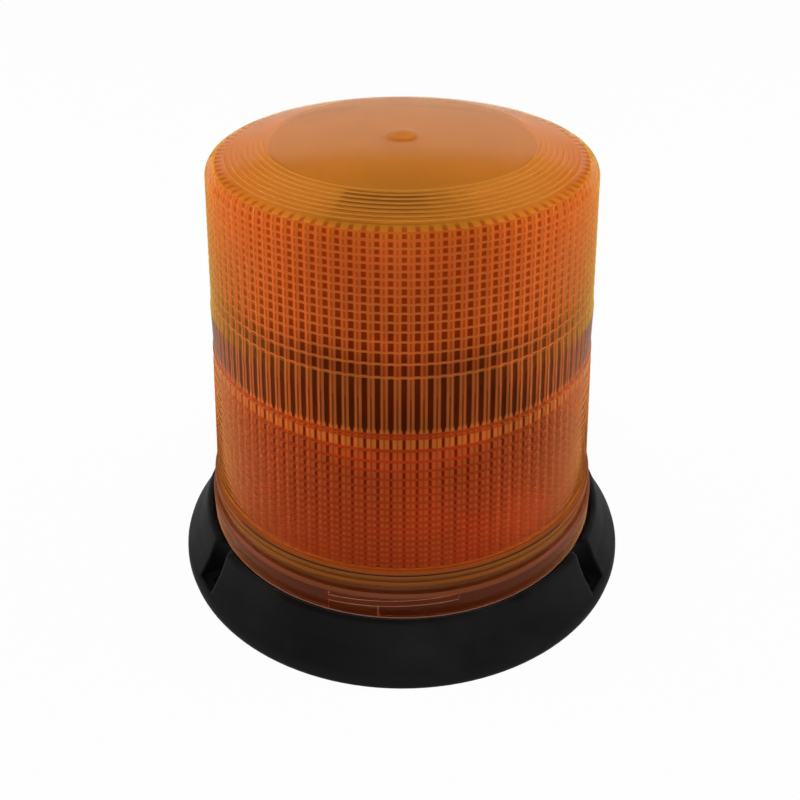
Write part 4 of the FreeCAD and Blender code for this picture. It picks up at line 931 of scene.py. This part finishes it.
def make_rings():
    """Rings left on metal by turning, drawing or brushing: noise stretched sideways."""
    tree, group_in, result = start_tones("turned_rings")
    given, place = group_in.outputs, object_place(tree)
    squeezed = add(tree, "ShaderNodeVectorMath", {0: place, 1: RING_STRETCH},
                   operation="MULTIPLY").outputs[0]
    scale = maths(tree, "MULTIPLY", given["Marks per mm"], MM_PER_METRE)
    rings, cloud = noise(tree, squeezed, scale, 3.0), noise(tree, place, 90.0, 2.0)
    both = maths(tree, "ADD", maths(tree, "MULTIPLY", rings, RINGS_FINE),
                 maths(tree, "MULTIPLY", cloud, RINGS_CLOUD))
    return end_tones(tree, given, result, soft_step(tree, both, *RINGS_STEP), rings)


GRAIN, RINGS = make_grain(), make_rings()
print("tone groups", GRAIN.name, RINGS.name)

# %% Wear and dust
WEAR_PATCH = (0.35, 0.6)
SPECK_SPREAD = 350.0
SPECK_EDGE = (0.03, 0.07)
SPECK_RARE = 0.93
FILM_STEP, FILM_FAINT = (0.45, 0.75), 0.12


def make_wear():
    """One along rubbed edges: where a rounded normal departs from the true one."""
    tree, group_in, result = group_tree(
        "edge_wear", {"Width mm": 0.6, "Strength": 3.0}, {"Mask": "NodeSocketFloat"})
    given = group_in.outputs
    rounded = add(tree, "ShaderNodeBevel", {
        "Radius": maths(tree, "MULTIPLY", given["Width mm"], MM)}, samples=4)
    true = add(tree, "ShaderNodeNewGeometry").outputs["Normal"]
    cosine = add(tree, "ShaderNodeVectorMath", {0: rounded.outputs[0], 1: true},
                 operation="DOT_PRODUCT").outputs["Value"]
    patch = noise(tree, object_place(tree), 220.0, 3.0)
    mask = maths(tree, "MULTIPLY", one_minus(tree, cosine), given["Strength"])
    mask = maths(tree, "MULTIPLY", maths(tree, "MINIMUM", mask, 1.0),
                 soft_step(tree, patch, *WEAR_PATCH))
    tree.links.new(mask, result.inputs["Mask"])
    return tree


def make_dust():
    """Small pale specks and a faint film on faces that look up."""
    tree, group_in, result = group_tree(
        "settled_dust", {"Amount": 0.3, "Speck mm": 1.2}, {"Mask": "NodeSocketFloat"})
    given, place = group_in.outputs, object_place(tree)
    normal = add(tree, "ShaderNodeNewGeometry").outputs["Normal"]
    up = add(tree, "ShaderNodeSeparateXYZ", {0: normal}).outputs["Z"]
    specks = add(tree, "ShaderNodeTexVoronoi", {
        "Vector": place,
        "Scale": maths(tree, "DIVIDE", SPECK_SPREAD, given["Speck mm"])}).outputs
    speck = one_minus(tree, soft_step(tree, specks["Distance"], *SPECK_EDGE))
    rare = add(tree, "ShaderNodeSeparateXYZ", {0: specks["Color"]}).outputs["X"]
    speck = maths(tree, "MULTIPLY", speck, maths(tree, "GREATER_THAN", rare, SPECK_RARE))
    film = soft_step(tree, noise(tree, place, 30.0, 5.0), *FILM_STEP)
    film = maths(tree, "MULTIPLY", film, FILM_FAINT)
    mask = maths(tree, "MULTIPLY", maths(tree, "MAXIMUM", speck, film), given["Amount"])
    mask = maths(tree, "MULTIPLY", mask, maths(tree, "MAXIMUM", up, 0.0))
    tree.links.new(mask, result.inputs["Mask"])
    return tree


WEAR, DUST = make_wear(), make_dust()
print("effect groups", [tree.name for tree in bpy.data.node_groups])

# %% One function for every solid finish
DUST_COLOUR = (0.30, 0.29, 0.27)
WORN_LIGHTER, WORN_ADDED = 1.8, 0.02


def finish(name, colour, group, tone_spread, rough, spread, per_mm, bump, metallic=0.0,
           wear=0.0, dust=0.0, specular=0.5, round_mm=0.25, sheen=0.0):
    """A grained or ringed finish with its own tone, roughness, bump, wear and dust."""
    material, tree = new_material(name)
    first = [channel * (1 - tone_spread) for channel in colour]
    second = [min(1.0, channel * (1 + tone_spread)) for channel in colour]
    effect = add(tree, "ShaderNodeGroup", {
        "First": (*first, 1), "Second": (*second, 1), "Rough": rough, "Spread": spread,
        "Marks per mm": per_mm}, node_tree=group).outputs
    tone = effect["Colour"]
    if wear:
        rubbed = add(tree, "ShaderNodeGroup", {"Strength": wear}, node_tree=WEAR)
        tone = blend(tree, rubbed.outputs["Mask"], tone,
                     [min(1.0, channel * WORN_LIGHTER + WORN_ADDED) for channel in colour])
    if dust:
        settled = add(tree, "ShaderNodeGroup", {"Amount": dust}, node_tree=DUST)
        tone = blend(tree, settled.outputs["Mask"], tone, DUST_COLOUR)
    rounded = add(tree, "ShaderNodeBevel", {"Radius": round_mm * MM}, samples=6)
    relief = add(tree, "ShaderNodeBump", {"Height": effect["Height"], "Strength": 0.4,
                                          "Distance": bump * MM, "Normal": rounded.outputs[0]})
    shader = add(tree, "ShaderNodeBsdfPrincipled", {
        "Base Color": tone, "Roughness": effect["Roughness"], "Metallic": metallic,
        "Specular IOR Level": specular, "Normal": relief.outputs[0],
        "Sheen Weight": sheen, "Sheen Roughness": 0.3})
    add(tree, "ShaderNodeOutputMaterial", {"Surface": shader.outputs[0]})
    return material


COLOURS = {row["slot"]: row["base_color"][:3] for row in frame["record"]["materials"]}
print("colours in the record", len(COLOURS))

# %% [markdown]
# ### The foot and the inner pieces
#
# The foot is a black moulding with soft corners, a satin skin and a little wear and dust.
# It is the one solid that the photograph shows well, so it has values of its own. The
# pieces inside are only seen through the ribbed dome. Each could get its own material by
# hand, but a table is easier to compare: it shows at once which metal is the smoothest.

# %% The foot
BASE_TONE = (0.0045, 0.0045, 0.0048)
made = {"base_black": finish("base_black", BASE_TONE, GRAIN, 0.25, 0.5, 0.12, 1.6, 0.05,
                             wear=1.2, dust=0.35, specular=0.28, round_mm=1.6, sheen=0.06)}
print("foot", made["base_black"].name)

# %% Plastics, rubber and metals
# spread of tone, roughness, spread of roughness, marks per mm, bump in mm
MOULDED = {
    "capacitor_plastic": (0.15, 0.35, 0.1, 1.0, 0.02),
    "gear_nylon": (0.05, 0.42, 0.12, 1.5, 0.03),
    "holder_ceramic": (0.06, 0.5, 0.15, 2.5, 0.04),
    "lead_sleeve": (0.1, 0.45, 0.1, 2.0, 0.03),
    "motor_plastic": (0.2, 0.4, 0.1, 1.2, 0.03),
    "pillar_plastic": (0.15, 0.45, 0.1, 1.2, 0.03),
    "rubber_black": (0.3, 0.75, 0.15, 2.2, 0.08),
    "rubber_grey": (0.15, 0.7, 0.15, 2.2, 0.08),
    "terminal_plastic": (0.1, 0.4, 0.1, 1.5, 0.03),
    "washer_nylon": (0.05, 0.4, 0.1, 1.5, 0.02),
}
METALS = {
    "bush_brass": (0.12, 0.3, 0.15, 3.0, 0.02),
    "filament_metal": (0.2, 0.4, 0.1, 8.0, 0.005),
    "lamp_metal": (0.1, 0.25, 0.15, 3.0, 0.015),
    "motor_steel": (0.1, 0.3, 0.15, 2.0, 0.02),
    "pinion_brass": (0.12, 0.25, 0.15, 4.0, 0.01),
    "screw_steel": (0.15, 0.32, 0.15, 4.0, 0.02),
    "shaft_steel": (0.08, 0.18, 0.1, 5.0, 0.01),
    "spring_steel": (0.15, 0.35, 0.15, 5.0, 0.01),
    "standoff_aluminium": (0.1, 0.35, 0.15, 3.0, 0.02),
    "terminal_brass": (0.12, 0.35, 0.15, 3.0, 0.02),
    "weight_iron": (0.3, 0.6, 0.2, 1.0, 0.12),
    "zinc_steel": (0.18, 0.38, 0.2, 0.6, 0.02),
    "reflector_mirror": (0.02, 0.07, 0.05, 0.5, 0.004),
}
GRAINED_METALS = ("weight_iron", "zinc_steel", "reflector_mirror")
WORN_METALS = ("zinc_steel", "weight_iron")
RUBBER_DUST, METAL_WEAR = 0.3, 1.5
for slot, values in MOULDED.items():
    made[slot] = finish(slot, COLOURS[slot], GRAIN, *values,
                        dust=RUBBER_DUST if slot.startswith("rubber") else 0.0)
for slot, values in METALS.items():
    group = GRAIN if slot in GRAINED_METALS else RINGS
    made[slot] = finish(slot, COLOURS[slot], group, *values, metallic=1.0,
                        wear=METAL_WEAR if slot in WORN_METALS else 0.0)
print("solid finishes", len(made))

# %% [markdown]
# ### Lamp glass
#
# The bulb is thin clear glass. Plain glass with no roughness would do, but a lamp that has
# been handled has a slight haze, so noise varies its roughness and tone a very little.

# %% Lamp glass
HAZE_SCALE, GLASS_ROUGH, GLASS_IOR = 150.0, 0.06, 1.47
GLASS_DULL, GLASS_CLEAR = (0.90, 0.92, 0.93), (0.98, 0.99, 1.0)
GLASS_SHADE = (0.95, 0.96, 0.97)
lamp_glass, tree = new_material("lamp_glass")
haze = noise(tree, object_place(tree), HAZE_SCALE, 3.0)
shader = add(tree, "ShaderNodeBsdfPrincipled", {
    "Base Color": blend(tree, haze, GLASS_DULL, GLASS_CLEAR),
    "Roughness": maths(tree, "MULTIPLY", haze, GLASS_ROUGH), "IOR": GLASS_IOR,
    "Transmission Weight": 1.0})
glassy(tree, shader, GLASS_SHADE)
made["lamp_glass"] = lamp_glass
print("glass", lamp_glass.name)

# %% [markdown]
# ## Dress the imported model
#
# The record names a material slot for every solid, so the finishes are given by slot and
# not piece by piece: a piece that is added to the model later gets its finish by itself.

# %% Dress the CAD nodes
slot_of = {part["node"]: part["material_slot"] for part in frame["record"]["subparts"]}
for name, node in NODES.items():
    if slot_of[name] != "amber_lens":
        paint(node, made[slot_of[name]])
print("finishes", len(made))
